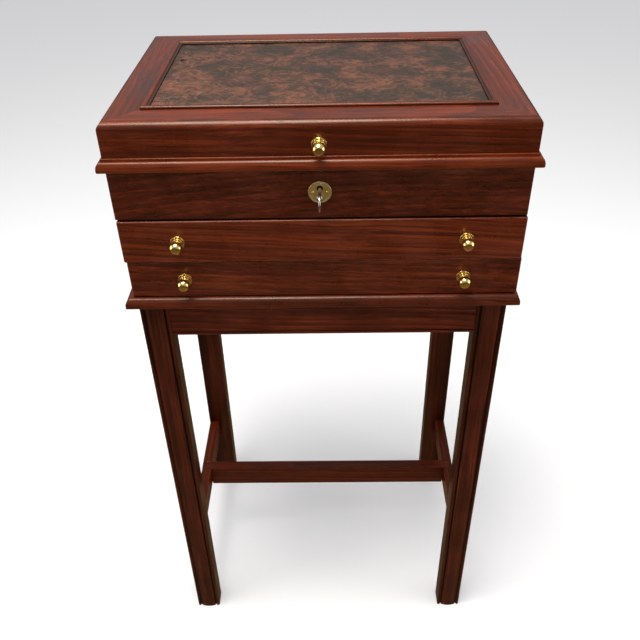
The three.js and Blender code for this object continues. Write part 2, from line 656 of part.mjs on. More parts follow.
function makeLid() {
  const lid = new THREE.Group();
  const strikeY = [BOLT_Y[0] - STRIKE_RIM, BOLT_Y[1] + STRIKE_RIM];
  const boltY = [BOLT_Y[0] - 2 * FIT, BOLT_Y[1] + 2 * FIT];
  const beads = [];
  for (const { side, turns } of SIDES) {
    const { across, along } = halves(turns, LID_HALF_WIDTH, LID_HALF_DEPTH);
    const corner = mitre(along, across);
    let geometry = rail(lidRailSection(across), corner, corner);
    if (side === "back") {
      geometry.rotateZ((turns * Math.PI) / 2);
      geometry = cut(
        geometry,
        ...hingeRecesses([LID_BOTTOM - PAST, LID_BOTTOM + HINGE_LEAF + FIT]),
      );
      add(lid, "lid_rail_back", geometry, ROSEWOOD());
    } else if (side === "front") {
      geometry.rotateZ((turns * Math.PI) / 2);
      const strikeRecess = boxBetween(
        span(STRIKE_WIDTH / 2 + FIT),
        [strikeY[0] - FIT, strikeY[1] + FIT],
        [LID_BOTTOM - PAST, LID_BOTTOM + STRIKE_THICKNESS + FIT],
      );
      const boltPocket = boxBetween(
        span(BOLT_WIDTH / 2 + 2 * FIT),
        boltY,
        [LID_BOTTOM, LID_BOTTOM + BOLT_THROW + BOLT_POCKET],
      );
      add(lid, "lid_rail_front", cut(geometry, strikeRecess, boltPocket), ROSEWOOD());
    } else {
      add(lid, `lid_rail_${side}`, geometry, ROSEWOOD(), turns);
    }
    beads.push(rail(beadSection(across), corner, corner).rotateZ((turns * Math.PI) / 2));
    if (side !== "back") {
      addLidMoulding(lid, side, turns, across, corner, along);
    }
  }
  add(lid, "lid_bead_frame", joined(...beads), ROSEWOOD());
  addLidPanel(lid);
  const strike = cut(
    boxBetween(span(STRIKE_WIDTH / 2), strikeY, [LID_BOTTOM, LID_BOTTOM + STRIKE_THICKNESS]),
    boxBetween(
      span(BOLT_WIDTH / 2 + 2 * FIT),
      boltY,
      [LID_BOTTOM - PAST, LID_BOTTOM + STRIKE_THICKNESS + PAST],
    ),
  );
  add(lid, "strike_plate", strike, OLD_BRASS());
  addHingeLeaves(lid, "lid");
  addKnob(lid, "lid_knob", 0, -LID_HALF_DEPTH, LID_KNOB_Z);
  return lid;
}

/** A length of the lid's moulding. The back has none, and the side ones end square there. */
function addLidMoulding(lid, side, turns, across, corner, along) {
  const backEnd = square(along);
  const ends = {
    right: [corner, backEnd],
    left: [backEnd, corner],
    front: [corner, corner],
  }[side];
  const moulding = rail(lidMouldingSection(across), ...ends);
  add(lid, `lid_moulding_${side}`, moulding, ROSEWOOD(), turns);
}

function addLidPanel(lid) {
  const inset = LID_BORDER + BEAD_WIDTH + FIT;
  const under = LID_TOP - LID_BORDER_THICKNESS;
  const panel = boxBetween(span(LID_HALF_WIDTH - inset), span(LID_HALF_DEPTH - inset), [
    under,
    LID_TOP - PANEL_DROP,
  ]);
  add(lid, "lid_panel", panel, BURR());
  const liningInset = BOARD + FIT;
  const lining = boxBetween(
    span(LID_HALF_WIDTH - liningInset),
    span(LID_HALF_DEPTH - liningInset),
    [under - LINING, under],
  );
  add(lid, "lid_lining", lining, BAIZE());
}

// ---------------------------------------------------------------- knobs and drawers

/** A turned knob on a front, with its rose against the face at y. */
function addKnob(group, name, x, y, z) {
  const headAngles = { from: -55, to: 60 }; // from the neck to the flatter end, in degrees
  const headStart = KNOB_NECK_START + KNOB_NECK_LENGTH + KNOB_FLARE;
  const rise = Math.sin(THREE.MathUtils.degToRad(-headAngles.from));
  const headMiddle = headStart + KNOB_HEAD_RADIUS * rise;
  const profile = [
    [0, 0],
    [KNOB_ROSE_RADIUS, 0],
    [KNOB_ROSE_RADIUS, KNOB_ROSE_EDGE],
    [KNOB_RING_RADIUS, KNOB_RING_HEIGHT],
    [KNOB_NECK_RADIUS, KNOB_NECK_START],
    [KNOB_NECK_RADIUS, KNOB_NECK_START + KNOB_NECK_LENGTH],
    ...arc([0, headMiddle], KNOB_HEAD_RADIUS, headAngles.from, headAngles.to),
    [0, headMiddle + KNOB_CROWN * KNOB_HEAD_RADIUS],
  ];
  const points = profile.map(([radius, out]) => new THREE.Vector2(radius, out));
  const geometry = new THREE.LatheGeometry(points, flats(KNOB_ROSE_RADIUS));
  const knob = add(group, name, geometry, BRASS());
  knob.position.set(x, y, z);
  knob.rotation.z = Math.PI;
}

/** A drawer whose front laps over the case's sides, and whose box runs inside them. */
function makeDrawer(name, frontZ, boxZ, sideways, ajar) {
  const drawer = new THREE.Group();
  const boxHalf = INNER_HALF_WIDTH - DRAWER_SIDE_CLEARANCE;
  const frontBack = -INNER_HALF_DEPTH;
  const boxBack = INNER_HALF_DEPTH - DRAWER_BACK_CLEARANCE;
  const innerHalf = boxHalf - DRAWER_SIDE;
  const backY = [boxBack - DRAWER_SIDE, boxBack];
  const bottomZ = [boxZ[0] + DRAWER_BOTTOM_LIFT, boxZ[0] + DRAWER_BOTTOM_LIFT + DRAWER_BOTTOM];
  const bottomY = [frontBack, backY[0]];
  const front = boxBetween(span(HALF_WIDTH), [-HALF_DEPTH, frontBack], frontZ);
  add(drawer, `${name}_front`, front, ROSEWOOD());
  const sideY = [frontBack, boxBack];
  const left = boxBetween([-boxHalf, -innerHalf], sideY, boxZ);
  const right = boxBetween([innerHalf, boxHalf], sideY, boxZ);
  add(drawer, `${name}_side_left`, left, DRAWER_WOOD());
  add(drawer, `${name}_side_right`, right, DRAWER_WOOD());
  add(drawer, `${name}_back`, boxBetween(span(innerHalf), backY, boxZ), DRAWER_WOOD());
  add(drawer, `${name}_bottom`, boxBetween(span(innerHalf), bottomY, bottomZ), DRAWER_WOOD());
  const lining = boxBetween(
    span(innerHalf - FIT),
    [bottomY[0] + FIT, bottomY[1] - FIT],
    [bottomZ[1], bottomZ[1] + LINING],
  );
  add(drawer, `${name}_lining`, lining, BAIZE());
  const knobZ = (frontZ[0] + frontZ[1]) / 2;
  addKnob(drawer, `${name}_knob_left`, -DRAWER_KNOB_X, -HALF_DEPTH, knobZ);
  addKnob(drawer, `${name}_knob_right`, DRAWER_KNOB_X, -HALF_DEPTH, knobZ);
  drawer.position.set(sideways, -ajar, 0);
  return drawer;
}

function makeDrawers() {
  const lower = makeDrawer(
    "lower_drawer",
    [BASE_TOP + SEAM, DIVIDER_MIDDLE - SEAM],
    [
      BASE_TOP + THIN_BOARD + DRAWER_RUN_CLEARANCE,
      DIVIDER_MIDDLE - DIVIDER / 2 - DRAWER_HEAD_CLEARANCE,
    ],
    LOWER_DRAWER_SIDEWAYS,
    0,
  );
  const upper = makeDrawer(
    "upper_drawer",
    [DIVIDER_MIDDLE + SEAM, WELL_BOTTOM - UPPER_SEAM + SEAM],
    [
      DIVIDER_MIDDLE + DIVIDER / 2 + DRAWER_RUN_CLEARANCE,
      WELL_FLOOR_TOP - THIN_BOARD - DRAWER_HEAD_CLEARANCE,
    ],
    UPPER_DRAWER_SIDEWAYS,
    UPPER_DRAWER_AJAR,
  );
  return [lower, upper];
}

// ---------------------------------------------------------------- whole object

const group = new THREE.Group();
group.add(makeStand(), makeCase(), makeLid(), ...makeDrawers());
group.position.y = -BOX_MIDDLE_Y;

export default group;
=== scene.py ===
"""The looks of a jewellery chest with drawers on its stand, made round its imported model.

Every piece is in metres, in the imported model's own frame: +Z up, the front towards -Y, the floor
at z = 0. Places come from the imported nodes' boxes, and each piece rides on one of their bodies.
"""

import logging
import math
import random
from dataclasses import dataclass, replace
from enum import Enum
from typing import Any, Callable, Sequence

import bmesh
import bpy
from mathutils import Euler, Matrix, Vector, noise

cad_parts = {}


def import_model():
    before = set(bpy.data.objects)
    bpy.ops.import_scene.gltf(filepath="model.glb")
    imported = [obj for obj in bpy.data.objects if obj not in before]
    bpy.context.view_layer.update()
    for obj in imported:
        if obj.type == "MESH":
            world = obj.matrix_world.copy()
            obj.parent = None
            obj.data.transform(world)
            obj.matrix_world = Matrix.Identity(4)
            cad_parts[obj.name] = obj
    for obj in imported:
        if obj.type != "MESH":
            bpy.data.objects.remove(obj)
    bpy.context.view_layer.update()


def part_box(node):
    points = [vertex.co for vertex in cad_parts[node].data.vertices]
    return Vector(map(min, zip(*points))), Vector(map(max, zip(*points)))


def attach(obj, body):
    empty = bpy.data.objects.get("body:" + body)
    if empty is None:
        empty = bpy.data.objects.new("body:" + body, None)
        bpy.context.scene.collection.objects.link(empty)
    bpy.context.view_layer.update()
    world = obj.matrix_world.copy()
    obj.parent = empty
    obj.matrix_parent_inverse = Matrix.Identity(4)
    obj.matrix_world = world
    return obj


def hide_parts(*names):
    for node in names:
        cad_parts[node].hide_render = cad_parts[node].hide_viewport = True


LOG = logging.getLogger("chest")
MM = 0.001
FIT = 0.3 * MM  # clearance between a let-in piece and its recess
WELD = 0.005 * MM  # points nearer than this are one point
ON_AXIS = 1e-7  # a turned radius below this is a point on the axis, in metres
WHOLE_STEP = 1e-6  # the share of a step that rounding may add to an arc
SEAM = 0.05 * MM  # how near a point lies to an edge or a quirk to count as in it
LINING_ROLL = 1.4 * MM  # radius of a pad's rolled top edge
LINING_SWELL = 0.3 * MM  # how uneven a pad's top is
GRAIN_SEED = 7
POLISH_TINT = (1.0, 0.8, 0.62, 1.0)  # old polish reflects warmly

Point = tuple[float, float]
Corner = tuple[float, float, float]


class Body(Enum):
    """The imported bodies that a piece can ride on."""

    CASE = "case"
    LID = "lid"
    UPPER_DRAWER = "upper_drawer"
    LOWER_DRAWER = "lower_drawer"
    LOCK_CURTAIN = "lock_curtain"
    LOCK_BOLT = "lock_bolt"
    KEY = "key"


class Along(Enum):
    """The direction that a board's grain runs in, as the axis order of its own length first."""

    WIDTH = (0, 1, 2)
    DEPTH = (1, 2, 0)
    HEIGHT = (2, 0, 1)


class End(Enum):
    """How a length of moulding or rail ends."""

    MITRE = "mitre"
    SQUARE = "square"


class Side(Enum):
    """The four sides of a frame, with the quarter turns that carry a right-hand rail to each."""

    RIGHT = 0
    BACK = 1
    LEFT = 2
    FRONT = 3

    @property
    def word(self) -> str:
        """The side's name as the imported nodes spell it."""
        return self.name.lower()


# ---------------------------------------------------------------- shapes


def linear(hex_colour: int) -> tuple[float, float, float, float]:
    """Turns a screen colour such as 0xC79A3E into linear light.

    Args:
        hex_colour: red, green and blue, eight bits each.

    Returns:
        Linear red, green, blue and an alpha of one.
    """
    parts = [((hex_colour >> shift) & 255) / 255 for shift in (16, 8, 0)]
    light = [p / 12.92 if p <= 0.04045 else ((p + 0.055) / 1.055) ** 2.4 for p in parts]
    return (light[0], light[1], light[2], 1.0)


def arc(centre: Point, radius: float, start: float, end: float, step: float = 11.25) -> list[Point]:
    """Points on an arc, both ends included.

    Args:
        centre: the arc's centre.
        radius: its radius.
        start: the angle of the first point, in degrees.
        end: the angle of the last point, in degrees.
        step: the most that two points may be apart, in degrees.

    Returns:
        The points in order.
    """
    steps = max(1, math.ceil(abs(end - start) / step - WHOLE_STEP))
    angles = [math.radians(start + (end - start) * i / steps) for i in range(steps + 1)]
    return [(centre[0] + radius * math.cos(a), centre[1] + radius * math.sin(a)) for a in angles]


def quarter(centre: Point, across: float, up: float) -> list[Point]:
    """A quarter of an ellipse, from its outermost point to its top.

    Args:
        centre: the ellipse's centre.
        across: half its width.
        up: half its height.

    Returns:
        The points in order.
    """
    unit = arc((0, 0), 1, 0, 90, 9)
    return [(centre[0] + across * x, centre[1] + up * y) for x, y in unit]


def rounded(corners: Sequence[Corner], step: float = 11.25) -> list[Point]:
    """An outline whose corners are rounded, each to its own radius.

    Args:
        corners: each corner's place and radius; no radius leaves it sharp.
        step: the most that an arc turns between two points, in degrees.

    Returns:
        The outline's points in the order of its corners.
    """
    points: list[Point] = []
    for i, (x, y, radius) in enumerate(corners):
        here = Vector((x, y))
        before = (Vector(corners[i - 1][:2]) - here).normalized()
        after = (Vector(corners[(i + 1) % len(corners)][:2]) - here).normalized()
        if radius <= 0:
            points.append((x, y))
            continue
        half = before.angle(after) / 2
        centre = here + (before + after).normalized() * (radius / math.sin(half))
        first = here + before * (radius / math.tan(half)) - centre
        last = here + after * (radius / math.tan(half)) - centre
        start = math.degrees(math.atan2(first.y, first.x))
        turn = math.degrees(math.atan2(last.y, last.x)) - start
        turn = (turn + 180) % 360 - 180
        points += arc((centre.x, centre.y), radius, start, start + turn, step)
    return points


def new_object(name: str, bm: bmesh.types.BMesh) -> bpy.types.Object:
    """Turns a bmesh into an object of the scene, with its faces pointing outwards."""
    bmesh.ops.recalc_face_normals(bm, faces=bm.faces)
    mesh = bpy.data.meshes.new(name)
    bm.to_mesh(mesh)
    bm.free()
    made = bpy.data.objects.new(name, mesh)
    bpy.context.scene.collection.objects.link(made)
    return made


def settle(obj: bpy.types.Object) -> None:
    """Applies an object's modifiers to its mesh and removes them."""
    graph = bpy.context.evaluated_depsgraph_get()
    mesh = bpy.data.meshes.new_from_object(obj.evaluated_get(graph))
    old = obj.data
    obj.modifiers.clear()
    obj.data = mesh
    bpy.data.meshes.remove(old)
    mesh.name = obj.name


def soften(obj: bpy.types.Object, radius: float, steps: int = 3) -> None:
    """Rounds an object's sharp edges.

    Args:
        obj: the piece.
        radius: the rounding's radius.
        steps: how many flats stand in for the rounding.
    """
    bevel = obj.modifiers.new("arris", "BEVEL")
    bevel.width = radius
    bevel.segments = steps
    bevel.limit_method = "ANGLE"
    bevel.angle_limit = math.radians(35)
    bevel.use_clamp_overlap = True
    settle(obj)


def smooth(obj: bpy.types.Object, sharp_angle: float = 38) -> None:
    """Shades an object smoothly, with flat faces kept flat and edges past an angle kept sharp."""
    obj.data.shade_smooth()
    obj.data.set_sharp_from_angle(angle=math.radians(sharp_angle))
    weighted = obj.modifiers.new("flats", "WEIGHTED_NORMAL")
    weighted.keep_sharp = True
    settle(obj)


def block(name: str, low: Vector, high: Vector) -> bpy.types.Object:
    """A plain box between two corners."""
    bm = bmesh.new()
    bmesh.ops.create_cube(bm, size=1)
    size = high - low
    bmesh.ops.scale(bm, vec=size, verts=bm.verts)
    bmesh.ops.translate(bm, vec=(low + high) / 2, verts=bm.verts)
    return new_object(name, bm)


def prism(name: str, outline: Sequence[Point], bottom: float, top: float) -> bpy.types.Object:
    """A closed outline in plan, raised between two heights."""
    bm = bmesh.new()
    lower = [bm.verts.new((x, y, bottom)) for x, y in outline]
    upper = [bm.verts.new((x, y, top)) for x, y in outline]
    count = len(outline)
    for i in range(count):
        j = (i + 1) % count
        bm.faces.new((lower[i], lower[j], upper[j], upper[i]))
    bm.faces.new(lower[::-1])
    bm.faces.new(upper)
    return new_object(name, bm)


def rail(
    name: str,
    section: Sequence[Point],
    side: Side,
    middle: Vector,
    reaches: tuple[tuple[float, float, End], tuple[float, float, End]],
) -> bpy.types.Object:
    """A length of moulding on one side of a frame.

    Args:
        name: the object's name.
        section: points as distance out from the frame's middle, and height.
        side: the side of the frame that it lies on.
        middle: the middle of the frame, in plan.
        reaches: for each end, half the frame's length along the rail, half its width across it,
            and how the rail is cut there.

    Returns:
        The rail as a closed mesh, in its place.
    """
    bm = bmesh.new()
    rings = []
    for sign, (along, across, cut) in zip((-1, 1), reaches):
        spare = [out - across if cut is End.MITRE else 0.0 for out, _ in section]
        ends = [sign * (along + s) for s in spare]
        rings.append([bm.verts.new((out, y, up)) for (out, up), y in zip(section, ends)])
    count = len(section)
    for i in range(count):
        j = (i + 1) % count
        bm.faces.new((rings[0][i], rings[0][j], rings[1][j], rings[1][i]))
    bm.faces.new(rings[0])
    bm.faces.new(rings[1])
    turn = Matrix.Rotation(side.value * math.pi / 2, 4, "Z")
    place = Matrix.Translation((middle.x, middle.y, 0)) @ turn
    bmesh.ops.transform(bm, matrix=place, verts=bm.verts)
    return new_object(name, bm)


def lathe(
    name: str, profile: Sequence[Point], place: Vector, axis: Vector, sides: int = 64
) -> bpy.types.Object:
    """A turned piece.

    Args:
        name: the object's name.
        profile: points as radius and distance along the axis; it starts and ends on the axis.
        place: where the axis starts.
        axis: the axis's direction.
        sides: how many flats go round.

    Returns:
        The piece as a closed mesh, in its place.
    """
    bm = bmesh.new()
    rings = []
    for radius, along in profile:
        if radius < ON_AXIS:
            rings.append([bm.verts.new((0, 0, along))])
            continue
        ring = []
        for i in range(sides):
            turn = 2 * math.pi * i / sides
            ring.append(bm.verts.new((radius * math.cos(turn), radius * math.sin(turn), along)))
        rings.append(ring)
    for first, second in zip(rings, rings[1:]):
        for i in range(sides):
            j = (i + 1) % sides
            if len(first) == 1:
                bm.faces.new((first[0], second[i], second[j]))
            elif len(second) == 1:
                bm.faces.new((first[i], first[j], second[0]))
            else:
                bm.faces.new((first[i], first[j], second[j], second[i]))
    facing = axis.to_track_quat("Z", "Y").to_matrix().to_4x4()
    bmesh.ops.transform(bm, matrix=Matrix.Translation(place) @ facing, verts=bm.verts)
    return new_object(name, bm)


def boolean(obj: bpy.types.Object, others: Sequence[bpy.types.Object], operation: str) -> None:
    """Joins other closed meshes to an object, or cuts them out of it, and removes them."""
    for other in others:
        step = obj.modifiers.new("bool", "BOOLEAN")
        step.operation = operation
        step.solver = "EXACT"
        step.object = other
        settle(obj)
        mesh = other.data
        bpy.data.objects.remove(other)
        bpy.data.meshes.remove(mesh)


def from_node(name: str, node: str) -> bpy.types.Object:
    """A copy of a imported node's mesh, merged and with its flat faces made whole."""
    bm = bmesh.new()
    bm.from_mesh(bpy.data.objects[node].data)
    bmesh.ops.remove_doubles(bm, verts=bm.verts, dist=WELD)
    same_plane = math.radians(0.5)
    bmesh.ops.dissolve_limit(bm, angle_limit=same_plane, verts=bm.verts, edges=bm.edges)
    return new_object(name, bm)


def pad(name: str, low: Vector, high: Vector, roll: float, swell: float) -> bpy.types.Object:
    """A cloth-covered pad: rolled edges, and a top that swells a little and unevenly.

    Args:
        name: the object's name.
        low: the lowest corner of the space that it fills.
        high: the highest corner.
        roll: radius of its rolled top edges.
        swell: how much lower the middle of the top may lie than its highest point.

    Returns:
        The pad as a closed mesh.
    """
    spacing = 4 * MM
    fewest = 8
    waves_per_metre = 28
    bm = bmesh.new()
    size = high - low
    counts = [max(fewest, round(s / spacing)) for s in size[:2]]
    rows = []
    for i in range(counts[0] + 1):
        row = []
        for j in range(counts[1] + 1):
            # Points crowd towards the edges, so that the roll there is a curve.
            u = 0.5 - 0.5 * math.cos(math.pi * i / counts[0])
            v = 0.5 - 0.5 * math.cos(math.pi * j / counts[1])
            x, y = low.x + size.x * u, low.y + size.y * v
            inset = min(x - low.x, high.x - x, y - low.y, high.y - y)
            drop = roll - math.sqrt(max(0.0, roll**2 - max(0.0, roll - inset) ** 2))
            wave = 0.5 + 0.5 * noise.noise(Vector((x, y, 0)) * waves_per_metre)
            row.append(bm.verts.new((x, y, high.z - drop - swell * wave)))
        rows.append(row)
    for i in range(counts[0]):
        for j in range(counts[1]):
            bm.faces.new((rows[i][j], rows[i + 1][j], rows[i + 1][j + 1], rows[i][j + 1]))
    rim = [e for e in bm.edges if e.is_boundary]
    wall = bmesh.ops.extrude_edge_only(bm, edges=rim)["geom"]
    for vert in (g for g in wall if isinstance(g, bmesh.types.BMVert)):
        vert.co.z = low.z
    bmesh.ops.holes_fill(bm, edges=[e for e in bm.edges if e.is_boundary])
    return new_object(name, bm)


# ---------------------------------------------------------------- node trees


class Wiring:
    """A node tree being wired up, with short calls for the nodes used most."""

    def __init__(self, tree: bpy.types.NodeTree) -> None:
        """Starts on a tree."""
        self.tree = tree

    def feed(self, socket: bpy.types.NodeSocket, value: Any) -> None:
        """Links a socket to another, or sets its own value."""
        if isinstance(value, bpy.types.NodeSocket):
            self.tree.links.new(value, socket)
        else:
            socket.default_value = value

    def node(
        self, kind: str, inputs: dict[Any, Any] | None = None, **settings: Any
    ) -> bpy.types.Node:
        """Adds a node.

        Args:
            kind: the node's type name.
            inputs: values or sockets for its inputs, by name or number.
            settings: its own properties.

        Returns:
            The node.
        """
        made = self.tree.nodes.new(kind)
        for name, value in settings.items():
            setattr(made, name, value)
        for key, value in (inputs or {}).items():
            self.feed(made.inputs[key], value)
        return made

    def math(self, operation: str, *values: Any, clamp: bool = False) -> bpy.types.NodeSocket:
        """A sum of numbers or sockets."""
        inputs = dict(enumerate(values))
        return self.node("ShaderNodeMath", inputs, operation=operation, use_clamp=clamp).outputs[0]

    def vector(self, operation: str, *values: Any) -> bpy.types.NodeSocket:
        """A sum of vectors; a length or a distance comes out as a number."""
        node = self.node("ShaderNodeVectorMath", dict(enumerate(values)), operation=operation)
        return node.outputs["Value" if operation in ("LENGTH", "DISTANCE") else "Vector"]

    def scaled(self, vector: Any, factors: Sequence[float]) -> bpy.types.NodeSocket:
        """A vector with each part multiplied by its own factor."""
        return self.vector("MULTIPLY", vector, factors)

    def join(self, across: Any = 0.0, along: Any = 0.0, up: Any = 0.0) -> bpy.types.NodeSocket:
        """A vector from its three parts."""
        return self.node("ShaderNodeCombineXYZ", {0: across, 1: along, 2: up}).outputs[0]

    def parts(self, vector: Any) -> Any:
        """A vector's three parts."""
        return self.node("ShaderNodeSeparateXYZ", {0: vector}).outputs

    def centred(self, value: Any, strength: float) -> bpy.types.NodeSocket:
        """A mask turned into a swing about nought, by half the strength either way."""
        return self.math("MULTIPLY", self.math("SUBTRACT", value, 0.5), strength)

    def noise(
        self, vector: Any, scale: Any, detail: float, rough: float = 0.55, swirl: float = 0.0
    ) -> Any:
        """A noise texture's value on a vector."""
        inputs = {"Vector": vector, "Scale": scale, "Detail": detail, "Roughness": rough}
        return self.node("ShaderNodeTexNoise", inputs | {"Distortion": swirl}).outputs[0]

    def spread(self, value: Any, low: Any, high: Any, to_low: Any = 0.0, to_high: Any = 1.0) -> Any:
        """Maps a range onto another, smoothly and clamped."""
        inputs = {0: value, 1: low, 2: high, 3: to_low, 4: to_high}
        node = self.node("ShaderNodeMapRange", inputs, interpolation_type="SMOOTHSTEP")
        return node.outputs[0]

    def blend(self, factor: Any, first: Any, second: Any) -> Any:
        """Two colours mixed by a factor."""
        inputs = {0: factor, 6: first, 7: second}
        return self.node("ShaderNodeMix", inputs, data_type="RGBA").outputs[2]

    def ramp(self, value: Any, stops: Sequence[tuple[float, int | Sequence[float]]]) -> Any:
        """A colour ramp on a value, of screen colours or of linear ones."""
        node = self.node("ShaderNodeValToRGB", {0: value})
        elements = node.color_ramp.elements
        while len(elements) < len(stops):
            elements.new(0.5)
        for element, (position, colour) in zip(elements, stops):
            element.position = position
            element.color = linear(colour) if isinstance(colour, int) else colour
        return node.outputs[0]

    def bump(self, height: Any, distance: float, strength: float) -> Any:
        """A normal from a height that is in units of distance."""
        inputs = {"Height": height, "Distance": distance, "Strength": strength}
        return self.node("ShaderNodeBump", inputs).outputs[0]


def shader_group(
    name: str, inputs: Sequence[tuple[str, str, Any]], outputs: Sequence[tuple[str, str]]
) -> tuple[Wiring, bpy.types.Node, bpy.types.Node]:
    """Starts a shader node group with named inputs and outputs.

    Args:
        name: the group's name.
        inputs: each input's name, socket type and default.
        outputs: each output's name and socket type.

    Returns:
        Its wiring, its input node and its output node.
    """
    tree = bpy.data.node_groups.new(name, "ShaderNodeTree")
    for word, kind, default in inputs:
        socket = tree.interface.new_socket(word, in_out="INPUT", socket_type=kind)
        if default is not None:
            socket.default_value = default
    for word, kind in outputs:
        tree.interface.new_socket(word, in_out="OUTPUT", socket_type=kind)
    wiring = Wiring(tree)
    return wiring, wiring.node("NodeGroupInput"), wiring.node("NodeGroupOutput")


FLOAT = "NodeSocketFloat"
VECTOR = "NodeSocketVector"


def grain_group() -> bpy.types.NodeTree:
    """Wood figure: growth bands and streaks that run along the first axis, and open pores."""
    wiring, given, result = shader_group(
        "wood_grain",
        [
            ("Grain", VECTOR, None),
            ("Streak Width", FLOAT, 0.012),
            ("Ring Spacing", FLOAT, 0.006),
            ("Wander", FLOAT, 0.006),
            ("Pore Cover", FLOAT, 0.35),
        ],
        [("Figure", FLOAT), ("Bands", FLOAT), ("Pores", FLOAT)],
    )
    place = given.outputs["Grain"]
    wander_field = wiring.noise(wiring.scaled(place, (4, 9, 9)), 1.0, 2)
    aside = wiring.math(
        "MULTIPLY", wiring.math("SUBTRACT", wander_field, 0.5), given.outputs["Wander"]
    )
    wandered = wiring.vector("ADD", place, wiring.join(0.0, aside, aside))
    per_width = wiring.math("DIVIDE", 1.0, given.outputs["Streak Width"])
    layers = []
    # Streaks, threads and hairs: how far each is drawn out, how fine it is, and its detail.
    for drawn_out, finer, detail in ((0.022, 1.0, 5), (0.012, 4.3, 3), (0.012, 14.0, 2)):
        scale = wiring.math("MULTIPLY", per_width, finer)
        stretched = wiring.scaled(wandered, (drawn_out, 1, 1))
        layers.append(wiring.noise(stretched, scale, detail, 0.6))
    streaks, threads, hairs = layers
    # A ring texture repeats every 2 pi / 20 of its scaled distance.
    ring_scale = wiring.math("DIVIDE", math.pi / 10, given.outputs["Ring Spacing"])
    rings = wiring.node(
        "ShaderNodeTexWave",
        {
            "Vector": wiring.scaled(wandered, (0.1, 1, 1)),
            "Scale": ring_scale,
            "Distortion": 3.0,
            "Detail": 3,
            "Detail Scale": 0.35,
        },
        wave_type="RINGS",
        rings_direction="X",
        wave_profile="SAW",
    ).outputs["Fac"]
    mixed = wiring.math("MULTIPLY_ADD", streaks, 0.34, wiring.math("MULTIPLY", threads, 0.36))
    mixed = wiring.math("MULTIPLY_ADD", hairs, 0.3, mixed)
    figure = wiring.spread(mixed, 0.27, 0.73)
    pore_field = wiring.noise(wiring.scaled(place, (90, 1500, 1500)), 1.0, 1, 0.5)
    share = wiring.math("MULTIPLY", given.outputs["Pore Cover"], 0.5)
    cover = wiring.math("SUBTRACT", 0.86, share)  # a pore opens where the noise passes this
    pores = wiring.spread(pore_field, cover, wiring.math("ADD", cover, 0.05))
    for word, socket in (("Figure", figure), ("Bands", rings), ("Pores", pores)):
        wiring.feed(result.inputs[word], socket)
    return wiring.tree


def wear_group() -> bpy.types.NodeTree:
    """Edge wear: the piece's own edge mask, broken up so that it comes and goes along an edge."""
    wiring, given, result = shader_group(
        "edge_wear",
        [
            ("Edge", FLOAT, 0.0),
            ("Place", VECTOR, None),
            ("Patch Size", FLOAT, 0.03),
            ("Amount", FLOAT, 0.5),
        ],
        [("Mask", FLOAT)],
    )
    scale = wiring.math("DIVIDE", 1.0, given.outputs["Patch Size"])
    patches = wiring.spread(wiring.noise(given.outputs["Place"], scale, 5, 0.7), 0.38, 0.66)
    share = wiring.math("MULTIPLY", given.outputs["Amount"], patches)
    wiring.feed(result.inputs["Mask"], wiring.math("MULTIPLY", given.outputs["Edge"], share))
    return wiring.tree


def mottle_group() -> bpy.types.NodeTree:
    """Unevenness of a polished or handled surface: broad clouds and fine specks."""
    wiring, given, result = shader_group(
        "surface_mottle",
        [("Place", VECTOR, None), ("Cloud Size", FLOAT, 0.05), ("Speck Size", FLOAT, 0.002)],
        [("Clouds", FLOAT), ("Specks", FLOAT)],
    )
    for word, size, low, high in (
        ("Clouds", "Cloud Size", 0.3, 0.7),
        ("Specks", "Speck Size", 0.5, 0.75),
    ):
        scale = wiring.math("DIVIDE", 1.0, given.outputs[size])
        field = wiring.noise(given.outputs["Place"], scale, 4, 0.6)
        wiring.feed(result.inputs[word], wiring.spread(field, low, high))
    return wiring.tree


class Groups:
    """The shader groups that the finishes share, each built once."""

    def __init__(self) -> None:
        """Builds the groups."""
        self.grain = grain_group()
        self.wear = wear_group()
        self.mottle = mottle_group()


# ---------------------------------------------------------------- finishes


@dataclass(frozen=True)
class Finish:
    """What every finish has: the record's material slot and a way to make its material."""

    slot: str

    def start(self, name: str) -> tuple[bpy.types.Material, Wiring, bpy.types.Node]:
        """Makes an empty material with its shader.

        Args:
            name: the material's name.

        Returns:
            The material, its wiring and its Principled shader.
        """
        material = bpy.data.materials.new(name)
        material.use_nodes = True
        wiring = Wiring(material.node_tree)
        wiring.tree.nodes.clear()
        shader = wiring.node("ShaderNodeBsdfPrincipled")
        output = wiring.node("ShaderNodeOutputMaterial")
        wiring.feed(output.inputs["Surface"], shader.outputs[0])
        return material, wiring, shader

    def make(self, groups: Groups) -> bpy.types.Material:
        """Makes the material; each finish does it in its own way."""
        raise NotImplementedError


def attribute(wiring: Wiring, name: str, output: str) -> bpy.types.NodeSocket:
    """A mesh attribute's socket."""
    return wiring.node("ShaderNodeAttribute", attribute_name=name).outputs[output]


def object_place(wiring: Wiring) -> bpy.types.NodeSocket:
    """The point's place on its object."""
    return wiring.node("ShaderNodeTexCoord").outputs["Object"]


def group_node(
    wiring: Wiring, tree: bpy.types.NodeTree, inputs: dict[str, Any]
) -> bpy.types.Node:
    """A shader group placed in a material with its own values."""
    node = wiring.node("ShaderNodeGroup")
    node.node_tree = tree
    for name, value in inputs.items():
        wiring.feed(node.inputs[name], value)
    return node


